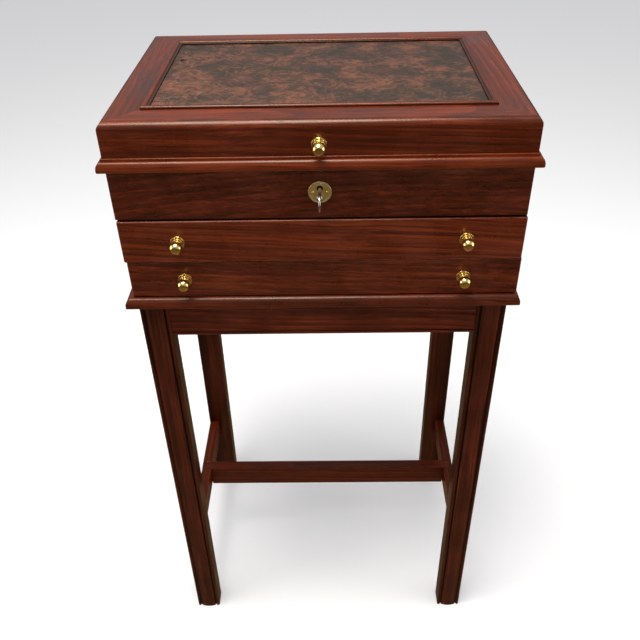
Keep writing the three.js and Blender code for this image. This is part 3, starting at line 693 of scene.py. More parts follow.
@dataclass(frozen=True)
class Wood(Finish):
    """A polished or waxed wood, streaked along each board's own grain."""

    name: str
    dark: int
    middle: int
    light: int
    pore: int
    wear_colour: int
    roughness: float
    streak_width: float
    ring_spacing: float
    wander: float
    pore_cover: float
    band_strength: float
    wear: float
    specular: float = 0.4

    def figure(self, wiring: Wiring, grain: bpy.types.Node, clouds: Any) -> Any:
        """How light the wood is at a place: its streaks, bands and clouds, and the board's tone.

        Args:
            wiring: the material's wiring.
            grain: the placed grain group.
            clouds: the mask of broad unevenness.

        Returns:
            A value from nought, dark, to one, light.
        """
        bands = wiring.centred(grain.outputs["Bands"], self.band_strength)
        tone = wiring.math("MULTIPLY", attribute(wiring, "tone", "Fac"), 0.3)
        uneven = wiring.centred(clouds, 0.22)
        figure = wiring.math("ADD", grain.outputs["Figure"], wiring.math("ADD", bands, tone))
        return wiring.math("ADD", figure, uneven, clamp=True)

    def make(self, groups: Groups) -> bpy.types.Material:
        """Makes the material."""
        material, wiring, shader = self.start(self.name)
        place = attribute(wiring, "grain", "Vector")
        grain = group_node(wiring, groups.grain, {
            "Grain": place,
            "Streak Width": self.streak_width,
            "Ring Spacing": self.ring_spacing,
            "Wander": self.wander,
            "Pore Cover": self.pore_cover,
        })
        cloud_sizes = {"Cloud Size": 0.07, "Speck Size": 0.004}
        cloud = group_node(wiring, groups.mottle, {"Place": place} | cloud_sizes)
        clouds = cloud.outputs["Clouds"]
        figure = self.figure(wiring, grain, clouds)
        colour = wiring.ramp(figure, [(0.0, self.dark), (0.5, self.middle), (1.0, self.light)])
        pores = wiring.math("MULTIPLY", grain.outputs["Pores"], 0.75)
        colour = wiring.blend(pores, colour, linear(self.pore))
        edge = attribute(wiring, "edge", "Fac")
        worn = group_node(
            wiring, groups.wear, {"Edge": edge, "Place": place, "Amount": self.wear}
        )
        colour = wiring.blend(worn.outputs["Mask"], colour, linear(self.wear_colour))
        # Painted shade: marked points darken towards the pore colour, as dark lines in seams and
        # quirks and at the bead's foot.
        grime = wiring.math("MULTIPLY", attribute(wiring, "grime", "Fac"), 0.9)
        colour = wiring.blend(grime, colour, linear(self.pore))
        rough = wiring.spread(clouds, 0.0, 1.0, self.roughness - 0.05, self.roughness + 0.06)
        rough = wiring.math("ADD", rough, wiring.math("MULTIPLY", pores, 0.2))
        raised = wiring.math("MULTIPLY", figure, 0.3)
        height = wiring.math("SUBTRACT", raised, grain.outputs["Pores"])
        wiring.feed(shader.inputs["Base Color"], colour)
        wiring.feed(shader.inputs["Roughness"], rough)
        wiring.feed(shader.inputs["Normal"], wiring.bump(height, 0.025 * MM, 0.5))
        shader.inputs["Specular IOR Level"].default_value = self.specular
        shader.inputs["Specular Tint"].default_value = POLISH_TINT
        return material


@dataclass(frozen=True)
class Burr(Finish):
    """Burr veneer: dark and red-brown clouds with swirling edges, and one small knot hole."""

    name: str
    dark: int
    middle: int
    light: int
    hole: int
    knot: tuple[float, float]
    hole_edge: tuple[float, float] = (3.0 * MM, 3.9 * MM)

    def figure(self, wiring: Wiring, place: Any) -> tuple[Any, Any]:
        """The veneer's figure: broad patches, swirling veins and fine fibres.

        Args:
            wiring: the material's wiring.
            place: the point on the panel.

        Returns:
            How light the veneer is, and its fibres alone.
        """
        swirl = wiring.noise(wiring.scaled(place, (1, 1.35, 1)), 27, 6, 0.6, 1.4)
        fibres = wiring.noise(wiring.scaled(place, (1, 1.6, 1)), 210, 6, 0.7, 1.5)
        eyes = wiring.noise(wiring.scaled(place, (1, 1.2, 1)), 75, 4, 0.6, 1.8)
        patches = wiring.spread(wiring.noise(place, 21, 4, 0.6), 0.35, 0.65)
        figure = wiring.math("MULTIPLY", fibres, 0.52)
        # A vein lies where a swirling noise passes through its middle.
        for field, width, weight in ((swirl, 0.07, 0.22), (eyes, 0.08, 0.16)):
            ridge = wiring.math("ABSOLUTE", wiring.math("SUBTRACT", field, 0.5))
            veins = wiring.spread(ridge, 0.0, width, 1.0, 0.0)
            figure = wiring.math("MULTIPLY_ADD", veins, weight, figure)
        return wiring.math("MULTIPLY_ADD", patches, 0.3, figure), fibres

    def make(self, groups: Groups) -> bpy.types.Material:
        """Makes the material."""
        material, wiring, shader = self.start(self.name)
        place = object_place(wiring)
        cloud_sizes = {"Cloud Size": 0.02, "Speck Size": 0.0016}
        cloud = group_node(wiring, groups.mottle, {"Place": place} | cloud_sizes)
        figure, fibres = self.figure(wiring, place)
        colour = wiring.ramp(figure, [(0.3, self.dark), (0.52, self.middle), (0.82, self.light)])
        shade = wiring.math("MULTIPLY", cloud.outputs["Specks"], 0.3)
        colour = wiring.blend(shade, colour, linear(self.dark))
        away = wiring.scaled(wiring.vector("SUBTRACT", place, (*self.knot, 0)), (1, 1, 0))
        hole = wiring.spread(wiring.vector("LENGTH", away), *self.hole_edge, 1.0, 0.0)
        colour = wiring.blend(hole, colour, linear(self.hole))
        rough = wiring.spread(cloud.outputs["Clouds"], 0, 1, 0.4, 0.54)
        grown = wiring.math("ADD", figure, fibres)
        height = wiring.math("SUBTRACT", grown, wiring.math("MULTIPLY", hole, 4.0))
        wiring.feed(shader.inputs["Base Color"], colour)
        wiring.feed(shader.inputs["Roughness"], rough)
        wiring.feed(shader.inputs["Normal"], wiring.bump(height, 0.6 * MM, 0.8))
        shader.inputs["Specular Tint"].default_value = POLISH_TINT
        return material


@dataclass(frozen=True)
class Metal(Finish):
    """A cast or turned metal, polished or aged."""

    name: str
    colour: int
    tarnish: int
    tarnish_share: float
    roughness: float
    grain: float

    def make(self, groups: Groups) -> bpy.types.Material:
        """Makes the material."""
        material, wiring, shader = self.start(self.name)
        cloud_sizes = {"Cloud Size": 0.006, "Speck Size": 0.0008}
        cloud = group_node(wiring, groups.mottle, {"Place": object_place(wiring)} | cloud_sizes)
        specks = cloud.outputs["Specks"]
        share = wiring.math("MULTIPLY", cloud.outputs["Clouds"], self.tarnish_share)
        speckled = wiring.math("MULTIPLY", specks, self.tarnish_share * 0.5)
        dirt = wiring.math("ADD", share, speckled, clamp=True)
        colour = wiring.blend(dirt, linear(self.colour), linear(self.tarnish))
        rough = wiring.math("ADD", wiring.math("MULTIPLY", dirt, 0.25), self.roughness)
        wiring.feed(shader.inputs["Base Color"], colour)
        wiring.feed(shader.inputs["Roughness"], rough)
        wiring.feed(shader.inputs["Normal"], wiring.bump(specks, 0.02 * MM, self.grain))
        shader.inputs["Metallic"].default_value = 1.0
        return material


@dataclass(frozen=True)
class Cloth(Finish):
    """Napped cloth glued over thin padding."""

    name: str
    colour: int
    light: int

    def make(self, groups: Groups) -> bpy.types.Material:
        """Makes the material."""
        material, wiring, shader = self.start(self.name)
        place = object_place(wiring)
        cloud_sizes = {"Cloud Size": 0.04, "Speck Size": 0.0007}
        cloud = group_node(wiring, groups.mottle, {"Place": place} | cloud_sizes)
        nap = wiring.noise(wiring.scaled(place, (1, 1.6, 1)), 1500, 2, 0.6)
        uneven = wiring.math("MULTIPLY", cloud.outputs["Clouds"], 0.3)
        share = wiring.math("ADD", wiring.math("MULTIPLY", nap, 0.5), uneven)
        colour = wiring.blend(share, linear(self.colour), linear(self.light))
        wiring.feed(shader.inputs["Base Color"], colour)
        wiring.feed(shader.inputs["Roughness"], wiring.spread(nap, 0.3, 0.7, 0.85, 1.0))
        wiring.feed(shader.inputs["Normal"], wiring.bump(nap, 0.3 * MM, 0.8))
        shader.inputs["Sheen Weight"].default_value = 0.5
        shader.inputs["Sheen Roughness"].default_value = 0.4
        return material


class Finishes:
    """Every finish on the object, made once."""

    def __init__(self, knot: tuple[float, float]) -> None:
        """Makes the materials.

        Args:
            knot: where the veneer's knot hole is, in plan.
        """
        self.groups = Groups()
        self.slots: dict[str, str] = {}
        polished = Wood(
            slot="rosewood",
            name="polished_rosewood",
            dark=0x290B02,
            middle=0x4C1603,
            light=0x702806,
            pore=0x140502,
            wear_colour=0x8A4A34,
            roughness=0.3,
            streak_width=0.011,
            ring_spacing=0.008,
            wander=0.014,
            pore_cover=0.35,
            band_strength=0.28,
            wear=0.5,
        )
        self.rosewood = self.add(polished)
        self.stand_wood = self.add(
            replace(polished, name="waxed_rosewood", roughness=0.34, wear=0.4, specular=0.2)
        )
        self.drawer_wood = self.add(Wood(
            slot="drawer_wood",
            name="waxed_drawer_wood",
            dark=0x6B4327,
            middle=0x8F6238,
            light=0xB08050,
            pore=0x4A2C18,
            wear_colour=0xC09468,
            roughness=0.48,
            streak_width=0.02,
            ring_spacing=0.008,
            wander=0.006,
            pore_cover=0.45,
            band_strength=0.2,
            wear=0.2,
        ))
        self.burr = self.add(Burr(
            slot="burr_veneer",
            name="burr_veneer",
            dark=0x1E1812,
            middle=0x33211A,
            light=0x653B29,
            hole=0x020101,
            knot=knot,
        ))
        self.brass = self.add(Metal(
            slot="brass",
            name="polished_brass",
            colour=0xF2D48C,
            tarnish=0xB98A3C,
            tarnish_share=0.3,
            roughness=0.11,
            grain=0.1,
        ))
        self.old_brass = self.add(Metal(
            slot="old_brass",
            name="aged_brass",
            colour=0xFFE8A4,
            tarnish=0xAC9450,
            tarnish_share=0.5,
            roughness=0.36,
            grain=0.5,
        ))
        self.steel = self.add(Metal(
            slot="steel",
            name="bright_steel",
            colour=0xC8C5C0,
            tarnish=0x6A6560,
            tarnish_share=0.4,
            roughness=0.16,
            grain=0.3,
        ))
        self.baize = self.add(
            Cloth(slot="baize", name="green_baize", colour=0x14301F, light=0x2B5238)
        )

    def add(self, finish: Finish) -> bpy.types.Material:
        """Makes one finish's material and notes its slot."""
        material = finish.make(self.groups)
        self.slots[material.name] = finish.slot
        return material


# ---------------------------------------------------------------- placing pieces


def along_seams(node: str) -> Callable[[Vector], bool]:
    """Tells which points lie in a board's top or bottom edge, where it meets its neighbours."""
    low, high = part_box(node)
    return lambda place: not low.z + SEAM < place.z < high.z - SEAM


@dataclass(frozen=True)
class Grain:
    """How a board was cut: the way its grain runs, how far it drifts and how light it is, and where
    shade is painted on it.
    """

    along: Along
    tone: float = 0.0
    drift: float = 2.5  # degrees, at most
    depth: float = 0.07  # from the heart of the tree, in metres
    grimy: Callable[[Vector], bool] | None = None  # where shade is painted as dark lines: seams, quirks and the bead's foot


@dataclass(frozen=True)
class ScrewRow:
    """A row of slotted screws along the piece's width."""

    count: int
    start: tuple[float, float, float]
    step: float
    tip: float  # how far the heads are turned from facing up, in degrees
    radius: float
    height: float
    seed: int


class Workshop:
    """Gives each piece its grain, finish and body."""

    def __init__(self, finishes: Finishes) -> None:
        """Starts with the finishes, the screws and the order of the boards' chances."""
        self.finishes = finishes
        self.screws = screw_row_tree()
        self.chance = random.Random(GRAIN_SEED)
        self.count = 0

    def lay_grain(self, obj: bpy.types.Object, grain: Grain) -> None:
        """Writes a board's grain coordinates, tone, edge mask and painted shade mask into its mesh.

        Args:
            obj: the board.
            grain: how it was cut.
        """
        mesh = obj.data
        angles = [math.radians(self.chance.uniform(-grain.drift, grain.drift)) for _ in range(2)]
        tilt = Euler((0, angles[0], angles[1])).to_matrix()
        shift = Vector((self.chance.uniform(-3, 3), self.chance.uniform(-0.02, 0.02), grain.depth))
        middle = sum((Vector(c) for c in obj.bound_box), Vector()) / 8
        order = grain.along.value
        narrow = 1.1 * MM
        wide = [False] * len(mesh.vertices)
        for face in mesh.polygons:
            corners = [mesh.vertices[i].co for i in face.vertices]
            longest = max((a - b).length for a, b in zip(corners, corners[1:] + corners[:1]))
            if face.area > narrow * longest:
                for i in face.vertices:
                    wide[i] = True
        places: list[float] = []
        for vertex in mesh.vertices:
            off = vertex.co - middle
            places.extend(tilt @ Vector([off[k] for k in order]) + shift)
        grime = [float(bool(grain.grimy and grain.grimy(vertex.co))) for vertex in mesh.vertices]
        for word, kind, field, values in (
            ("grain", "FLOAT_VECTOR", "vector", places),
            ("edge", "FLOAT", "value", [0.0 if flat else 1.0 for flat in wide]),
            ("tone", "FLOAT", "value", [grain.tone] * len(wide)),
            ("grime", "FLOAT", "value", grime),
        ):
            mesh.attributes.new(word, kind, "POINT").data.foreach_set(field, values)

    def fit(
        self,
        obj: bpy.types.Object,
        body: Body,
        material: bpy.types.Material,
        nodes: Sequence[str] = (),
        grain: Grain | None = None,
    ) -> bpy.types.Object:
        """Finishes a piece and hands it to the frame.

        Args:
            obj: the piece, already in its place.
            body: the body that it rides on.
            material: its material.
            nodes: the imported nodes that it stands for.
            grain: how its wood was cut, where it is wood.

        Returns:
            The piece.
        """
        if grain is not None:
            self.lay_grain(obj, grain)
        obj.data.materials.clear()
        obj.data.materials.append(material)
        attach(obj, body.value)
        if nodes:
            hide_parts(*nodes)
        self.count += 1
        LOG.info("%s rides on %s in %s", obj.name, body.value, material.name)
        return obj

    def board(
        self, name: str, node: str, body: Body, grain: Grain, material: Any, arris: float
    ) -> None:
        """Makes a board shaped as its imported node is, with softened edges."""
        obj = from_node(name, node)
        soften(obj, arris)
        smooth(obj)
        self.fit(obj, body, material, [node], grain)

    def fitting(
        self, name: str, node: str, body: Body, material: Any, arris: float, sharp_angle: float
    ) -> None:
        """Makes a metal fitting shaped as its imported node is, with softened edges."""
        obj = from_node(name, node)
        soften(obj, arris, 2)
        smooth(obj, sharp_angle)
        self.fit(obj, body, material, [node])

    def lining(
        self, name: str, node: str, body: Body, roll: float = LINING_ROLL, face_down: bool = False
    ) -> None:
        """Makes a cloth-covered pad in the place of a packed lining.

        Args:
            name: the piece's name.
            node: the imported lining.
            body: the body that it rides on.
            roll: radius of its rolled edges.
            face_down: whether its soft side faces down.
        """
        low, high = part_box(node)
        made = pad(name, low, high, roll, LINING_SWELL)
        if face_down:
            mirror = Matrix.Scale(-1, 4, Vector((0, 0, 1)))
            made.data.transform(Matrix.Translation((0, 0, low.z + high.z)) @ mirror)
            made.data.flip_normals()
        smooth(made, 60)
        self.fit(made, body, self.finishes.baize, [node])

    def screw_row(self, name: str, body: Body, material: Any, row: ScrewRow) -> None:
        """Drives a row of screws.

        Args:
            name: the piece's name.
            body: the body that it rides on.
            material: the screws' finish.
            row: where they are and how large.
        """
        values = {
            "Count": row.count,
            "Start": row.start,
            "Step": (row.step, 0, 0),
            "Facing": (math.radians(row.tip), 0, 0),
            "Head Radius": row.radius,
            "Head Height": row.height,
            "Slot Width": 0.5 * MM,
            "Seed": row.seed,
            "Finish": material,
        }
        self.fit(grow(name, self.screws, values), body, material)


# ---------------------------------------------------------------- Geometry Nodes


def geometry_tree(
    name: str, inputs: Sequence[tuple[str, str]]
) -> tuple[Wiring, bpy.types.Node, bpy.types.Node]:
    """Starts a Geometry Nodes tree with named inputs and one geometry output.

    Args:
        name: the tree's name.
        inputs: each input's name and socket type.

    Returns:
        Its wiring, its input node and its output node.
    """
    tree = bpy.data.node_groups.new(name, "GeometryNodeTree")
    for word, kind in inputs:
        tree.interface.new_socket(word, in_out="INPUT", socket_type=kind)
    tree.interface.new_socket("Geometry", in_out="OUTPUT", socket_type="NodeSocketGeometry")
    wiring = Wiring(tree)
    return wiring, wiring.node("NodeGroupInput"), wiring.node("NodeGroupOutput")


def finish_tree(wiring: Wiring, result: bpy.types.Node, geometry: Any, material: Any) -> None:
    """Ends a Geometry Nodes tree: gives its geometry the material and sends it out."""
    inputs = {"Geometry": geometry, "Material": material}
    dressed = wiring.node("GeometryNodeSetMaterial", inputs)
    wiring.feed(result.inputs[0], dressed.outputs[0])


def grow(name: str, tree: bpy.types.NodeTree, values: dict[str, Any]) -> bpy.types.Object:
    """Runs a Geometry Nodes tree and keeps the result as a plain mesh.

    Args:
        name: the new object's name.
        tree: the tree.
        values: a value for each of its inputs, by the input's name.

    Returns:
        The new object.
    """
    holder = bpy.data.objects.new(name + "_tree", bpy.data.meshes.new(name + "_tree"))
    bpy.context.scene.collection.objects.link(holder)
    modifier = holder.modifiers.new("grow", "NODES")
    modifier.node_group = tree
    for item in tree.interface.items_tree:
        if item.in_out == "INPUT":
            modifier[item.identifier] = values[item.name]
    graph = bpy.context.evaluated_depsgraph_get()
    mesh = bpy.data.meshes.new_from_object(holder.evaluated_get(graph))
    mesh.name = name
    empty = holder.data
    bpy.data.objects.remove(holder)
    bpy.data.meshes.remove(empty)
    made = bpy.data.objects.new(name, mesh)
    bpy.context.scene.collection.objects.link(made)
    return made


def screw_row_tree() -> bpy.types.NodeTree:
    """Slotted countersunk screw heads along a line, each with its slot at its own angle."""
    wiring, given, result = geometry_tree(
        "screw_row",
        [
            ("Count", "NodeSocketInt"),
            ("Start", VECTOR),
            ("Step", VECTOR),
            ("Facing", VECTOR),
            ("Head Radius", FLOAT),
            ("Head Height", FLOAT),
            ("Slot Width", FLOAT),
            ("Seed", "NodeSocketInt"),
            ("Finish", "NodeSocketMaterial"),
        ],
    )
    take = given.outputs
    line = wiring.node(
        "GeometryNodeMeshLine",
        {"Count": take["Count"], "Start Location": take["Start"], "Offset": take["Step"]},
    )
    radius, height = take["Head Radius"], take["Head Height"]
    head = wiring.node(
        "GeometryNodeMeshCone",
        {
            "Vertices": 20,
            "Radius Top": wiring.math("MULTIPLY", radius, 0.82),
            "Radius Bottom": radius,
            "Depth": height,
        },
    )
    past_the_head = wiring.math("MULTIPLY", radius, 3.0)
    size = wiring.join(take["Slot Width"], past_the_head, height)
    slot = wiring.node("GeometryNodeMeshCube", {"Size": size})
    lift = wiring.join(up=wiring.math("MULTIPLY", height, 1.05))
    raised = wiring.node(
        "GeometryNodeTransform", {"Geometry": slot.outputs[0], "Translation": lift}
    )
    slotted = wiring.node(
        "GeometryNodeMeshBoolean",
        {0: head.outputs["Mesh"], 1: raised.outputs[0]},
        operation="DIFFERENCE",
        solver="EXACT",
    )
    facing = wiring.node("FunctionNodeEulerToRotation", {0: take["Facing"]})
    heads = wiring.node(
        "GeometryNodeInstanceOnPoints",
        {
            "Points": line.outputs[0],
            "Instance": slotted.outputs[0],
            "Rotation": facing.outputs[0],
        },
    )
    turn = wiring.node(
        "FunctionNodeRandomValue",
        {0: (0, 0, 0), 1: (0, 0, math.pi), "Seed": take["Seed"]},
        data_type="FLOAT_VECTOR",
    )
    turned = wiring.node(
        "GeometryNodeRotateInstances",
        {"Instances": heads.outputs[0], "Rotation": turn.outputs[0]},
    )
    real = wiring.node("GeometryNodeRealizeInstances", {0: turned.outputs[0]})
    finish_tree(wiring, result, real.outputs[0], take["Finish"])
    return wiring.tree


def rippled_panel_tree() -> bpy.types.NodeTree:
    """A veneered panel whose top has lifted and rippled, more so towards one end."""
    wiring, given, result = geometry_tree(
        "rippled_panel",
        [
            ("Size", VECTOR),
            ("Middle", VECTOR),
            ("Columns", "NodeSocketInt"),
            ("Rows", "NodeSocketInt"),
            ("Knot", VECTOR),
            ("Knot Depth", FLOAT),
            ("Ripple Height", FLOAT),
            ("Ripple Scale", FLOAT),
            ("Finish", "NodeSocketMaterial"),
        ],
    )
    take = given.outputs
    width, depth, thick = wiring.parts(take["Size"])
    grid = wiring.node(
        "GeometryNodeMeshGrid",
        {
            "Size X": width,
            "Size Y": depth,
            "Vertices X": take["Columns"],
            "Vertices Y": take["Rows"],
        },
    )
    place = wiring.node("GeometryNodeInputPosition").outputs[0]
    across, along, _ = wiring.parts(place)
    lifted = wiring.spread(wiring.math("DIVIDE", across, width), -0.5, -0.2, 1.0, 0.35)
    broad = wiring.noise(place, take["Ripple Scale"], 2, 0.5)
    crease_scale = wiring.math("MULTIPLY", take["Ripple Scale"], 1.4)
    creases = wiring.noise(wiring.scaled(place, (0.3, 1.0, 1)), crease_scale, 1, 0.4)
    ripple = wiring.math("ADD", wiring.math("MULTIPLY", broad, 0.8), creases)
    ripple = wiring.math("MULTIPLY", wiring.math("SUBTRACT", ripple, 0.9), lifted)
    height = wiring.math("MULTIPLY", ripple, take["Ripple Height"])
    # The ripples die away at the panel's borders.
    for part, length in ((across, width), (along, depth)):
        share = wiring.math("DIVIDE", wiring.math("ABSOLUTE", part), length)
        height = wiring.math("MULTIPLY", height, wiring.spread(share, 0.47, 0.5, 1.0, 0.0))
    gap = wiring.vector("DISTANCE", place, wiring.vector("SUBTRACT", take["Knot"], take["Middle"]))
    pit = wiring.spread(gap, 1.6 * MM, 3.8 * MM, 1.0, 0.0)
    height = wiring.math("SUBTRACT", height, wiring.math("MULTIPLY", pit, take["Knot Depth"]))
    rippled = wiring.node(
        "GeometryNodeSetPosition",
        {"Geometry": grid.outputs["Mesh"], "Offset": wiring.join(up=height)},
    )
    down = wiring.math("MULTIPLY", thick, -1.0)
    core = wiring.node(
        "GeometryNodeExtrudeMesh",
        {
            "Mesh": rippled.outputs[0],
            "Offset": wiring.join(up=down),
            "Offset Scale": 1.0,
            "Individual": False,
        },
        mode="FACES",
    )
    levelled = wiring.node(
        "GeometryNodeSetPosition",
        {
            "Geometry": core.outputs[0],
            "Selection": core.outputs["Top"],
            "Position": wiring.join(across, along, down),
        },
    )
    flipped = wiring.node("GeometryNodeFlipFaces", {"Mesh": levelled.outputs[0]})
    joined = wiring.node("GeometryNodeJoinGeometry")
    wiring.feed(joined.inputs[0], rippled.outputs[0])
    wiring.feed(joined.inputs[0], flipped.outputs[0])
    whole = wiring.node(
        "GeometryNodeMergeByDistance", {"Geometry": joined.outputs[0], "Distance": 0.01 * MM}
    )
    moved = wiring.node(
        "GeometryNodeTransform", {"Geometry": whole.outputs[0], "Translation": take["Middle"]}
    )
    finish_tree(wiring, result, moved.outputs[0], take["Finish"])
    return wiring.tree


# ---------------------------------------------------------------- sub-assemblies


def plan_middle(node: str) -> Vector:
    """The middle of a node's box."""
    low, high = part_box(node)
    return (low + high) / 2


@dataclass
class Stand:
    """The stand: moulded legs, aprons, base moulding and the H-stretcher."""

    workshop: Workshop
    bead: float = 4.5 * MM
    relief: float = 1.5 * MM  # crown of the field above the beads
    quirk_width: float = 2 * MM
    quirk_depth: float = 4 * MM
    field_edge: float = 2.2 * MM
    chamfer: float = 11.5 * MM
    apron_bead: float = 4 * MM
    apron_quirk: float = 1.4 * MM
    moulding_reach: float = 6.9 * MM
    stretcher_arris: float = 1.4 * MM

    def leg_outline(self, node: str) -> list[Point]:
        """A leg's outline in plan, from its outer corner round both moulded faces.

        Args:
            node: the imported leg.

        Returns:
            The outline's points.
        """
        low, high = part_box(node)
        leg = high.x - low.x
        radius = self.bead / 2
        corner = self.relief + radius
        start = self.relief + self.bead + self.quirk_width
        edge_bead = self.bead + self.quirk_depth - self.relief - radius
        end = leg - edge_bead - self.quirk_width
        half = (end - start) / 2
        field_radius = (half**2 + self.field_edge**2) / (2 * self.field_edge)
        sweep = math.degrees(math.asin(half / field_radius))
        bead_middle = (leg - edge_bead / 2, self.quirk_depth)
        face = [
            (corner + radius, self.quirk_depth),
            (start, self.quirk_depth),
            *arc((start + half, field_radius), field_radius, -90 - sweep, -90 + sweep, 4),
            (end, self.quirk_depth),
            (leg - edge_bead, self.quirk_depth),
            *arc(bead_middle, edge_bead / 2, -180, 0)[1:],
        ]
        outline = arc((corner, corner), radius, 180, 270) + [(corner + radius, corner)] + face
        outline += [(leg, leg - self.chamfer), (leg - self.chamfer, leg)]
        outline += [(d, u) for u, d in reversed(face)] + [(corner, corner + radius)]
        right = "right" in node
        back = "back" in node
        return [
            (high.x - u if right else low.x + u, high.y - d if back else low.y + d)
            for u, d in outline
        ]

    def in_quirk(self, edge: Vector) -> Callable[[Vector], bool]:
        """Tells which points lie at the bottom of a leg's quirks.

        Args:
            edge: the leg's outer corner, in plan.

        Returns:
            A test of a point.
        """

        def deep(place: Vector) -> bool:
            """Whether a point is as deep as a quirk from either moulded face."""
            depths = (abs(place.x - edge.x), abs(place.y - edge.y))
            return min(abs(depth - self.quirk_depth) for depth in depths) < SEAM

        return deep

    def make_legs(self) -> None:
        """Makes the four legs."""
        for row in ("front", "back"):
            for column in ("left", "right"):
                node = f"leg_{row}_{column}"
                low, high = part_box(node)
                leg = prism(f"{row}_{column}_leg", self.leg_outline(node), low.z, high.z)
                smooth(leg, 30)
                outer_x = high.x if column == "right" else low.x
                edge = Vector((outer_x, high.y if row == "back" else low.y))
                # The quirks are darkened with painted shade, and the legs' dark tone is partly the
                # wood's own and partly painted shade under the chest.
                grain = Grain(Along.HEIGHT, -0.9, 0.8, grimy=self.in_quirk(edge))
                self.workshop.fit(leg, Body.CASE, self.workshop.finishes.stand_wood, [node], grain)

    @staticmethod
    def between(bottom: float, top: float) -> Callable[[Vector], bool]:
        """Tells which points lie between two heights."""
        return lambda place: bottom < place.z < top

    def make_aprons(self) -> None:
        """Makes the four aprons, beaded along their lower edges."""
        for side in Side:
            node = f"apron_{side.word}"
            low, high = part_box(node)
            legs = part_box("leg_front_left")[0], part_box("leg_back_right")[1]
            middle = (legs[0] + legs[1]) / 2
            across_axis = 0 if side in (Side.LEFT, Side.RIGHT) else 1
            thickness = (high - low)[across_axis]
            face = high if side in (Side.RIGHT, Side.BACK) else low
            outer = abs(face[across_axis] - middle[across_axis])
            along = (high - low)[1 - across_axis] / 2
            radius = self.apron_bead / 2
            soft = 0.5 * MM
            shoulder = low.z + self.apron_bead + self.apron_quirk
            section = [(outer - thickness, low.z), (outer - radius, low.z)]
            section += arc((outer - radius, low.z + radius), radius, -90, 90)[1:]
            section += [(outer - radius, shoulder)]
            section += arc((outer - soft, shoulder + soft), soft, -90, 0, 30)
            section += [(outer, high.z), (outer - thickness, high.z)]
            reach = (along, 0.0, End.SQUARE)
            apron = rail(f"{side.word}_apron", section, side, middle, (reach, reach))
            smooth(apron)
            way = Along.WIDTH if across_axis == 1 else Along.DEPTH
            # The quirk above the bead is darkened with painted shade.
            quirk = (low.z + self.apron_bead - 2 * SEAM, shoulder + 2 * SEAM)
            grain = Grain(way, -0.15, 3, grimy=self.between(*quirk))
            self.workshop.fit(apron, Body.CASE, self.workshop.finishes.stand_wood, [node], grain)

    def make_mouldings(self) -> None:
        """Makes the four mitred lengths of half-round base moulding."""
        low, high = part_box("base_moulding_front")[0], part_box("base_moulding_back")[1]
        middle = (low + high) / 2
        halves = (high - low) / 2
        nose = (high.z - low.z) / 2
        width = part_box("base_moulding_front")
        rail_width = width[1].y - width[0].y
        for side in Side:
            crosswise = side in (Side.FRONT, Side.BACK)
            across = (halves.y if crosswise else halves.x) - self.moulding_reach
            along = (halves.x if crosswise else halves.y) - self.moulding_reach
            tip = across + self.moulding_reach
            inner = tip - rail_width
            foot = 0.22 * (high.z - low.z)
            turn = low.z + 0.36 * (high.z - low.z)
            section = [(inner, low.z), *arc((tip - foot, low.z + foot), foot, -90, 0, 15)]
            section += quarter((tip - nose, turn), nose, high.z - turn) + [(inner, high.z)]
            reach = (along, across, End.MITRE)
            moulding = rail(f"{side.word}_base_moulding", section, side, middle, (reach, reach))
            smooth(moulding)
            grain = Grain(Along.WIDTH if crosswise else Along.DEPTH, -0.1, 1)
            nodes = [f"base_moulding_{side.word}"]
            self.workshop.fit(moulding, Body.CASE, self.workshop.finishes.rosewood, nodes, grain)

    def make_stretchers(self) -> None:
        """Makes the H-stretcher's three rails."""
        for word, way in (("left", Along.DEPTH), ("right", Along.DEPTH), ("cross", Along.WIDTH)):
            self.workshop.board(
                f"{word}_stretcher",
                f"stretcher_{word}",
                Body.CASE,
                Grain(way, -0.2, 1.5),
                self.workshop.finishes.stand_wood,
                self.stretcher_arris,
            )

    def make(self) -> None:
        """Makes the whole stand."""
        self.make_legs()
        self.make_aprons()
        self.make_mouldings()
        self.make_stretchers()


@dataclass
class Carcase:
    """The chest's body: sides, back, well front, the boards inside it and the well's lining."""

    workshop: Workshop
    arris: float = 0.7 * MM
    front_arris: float = 1.4 * MM
    lining_roll: float = 1.6 * MM

    def make(self) -> None:
        """Makes the carcase."""
        show = self.workshop.finishes.rosewood
        plain = self.workshop.finishes.drawer_wood
        # The lock board's top and bottom edges are darkened with painted shade, as dark seam lines.
        lock_grain = Grain(Along.WIDTH, -0.4, 6, 0.04, along_seams("well_front"))
        boards = [
            ("left_side", "case_side_left", Grain(Along.DEPTH, 0.0, 2), show),
            ("right_side", "case_side_right", Grain(Along.DEPTH, 0.1, 2), show),
            ("back_board", "case_back", Grain(Along.WIDTH, -0.2, 3), show),
            ("lock_board", "well_front", lock_grain, show),
            ("bottom_board", "case_bottom", Grain(Along.WIDTH, -0.2), plain),
            ("dust_board", "drawer_divider", Grain(Along.WIDTH, 0.1), plain),
            ("well_board", "well_floor", Grain(Along.WIDTH, 0.0), plain),
        ]
        for name, node, grain, material in boards:
            arris = self.front_arris if node == "well_front" else self.arris
            self.workshop.board(name, node, Body.CASE, grain, material, arris)
        self.workshop.lining("well_pad", "well_lining", Body.CASE, self.lining_roll)


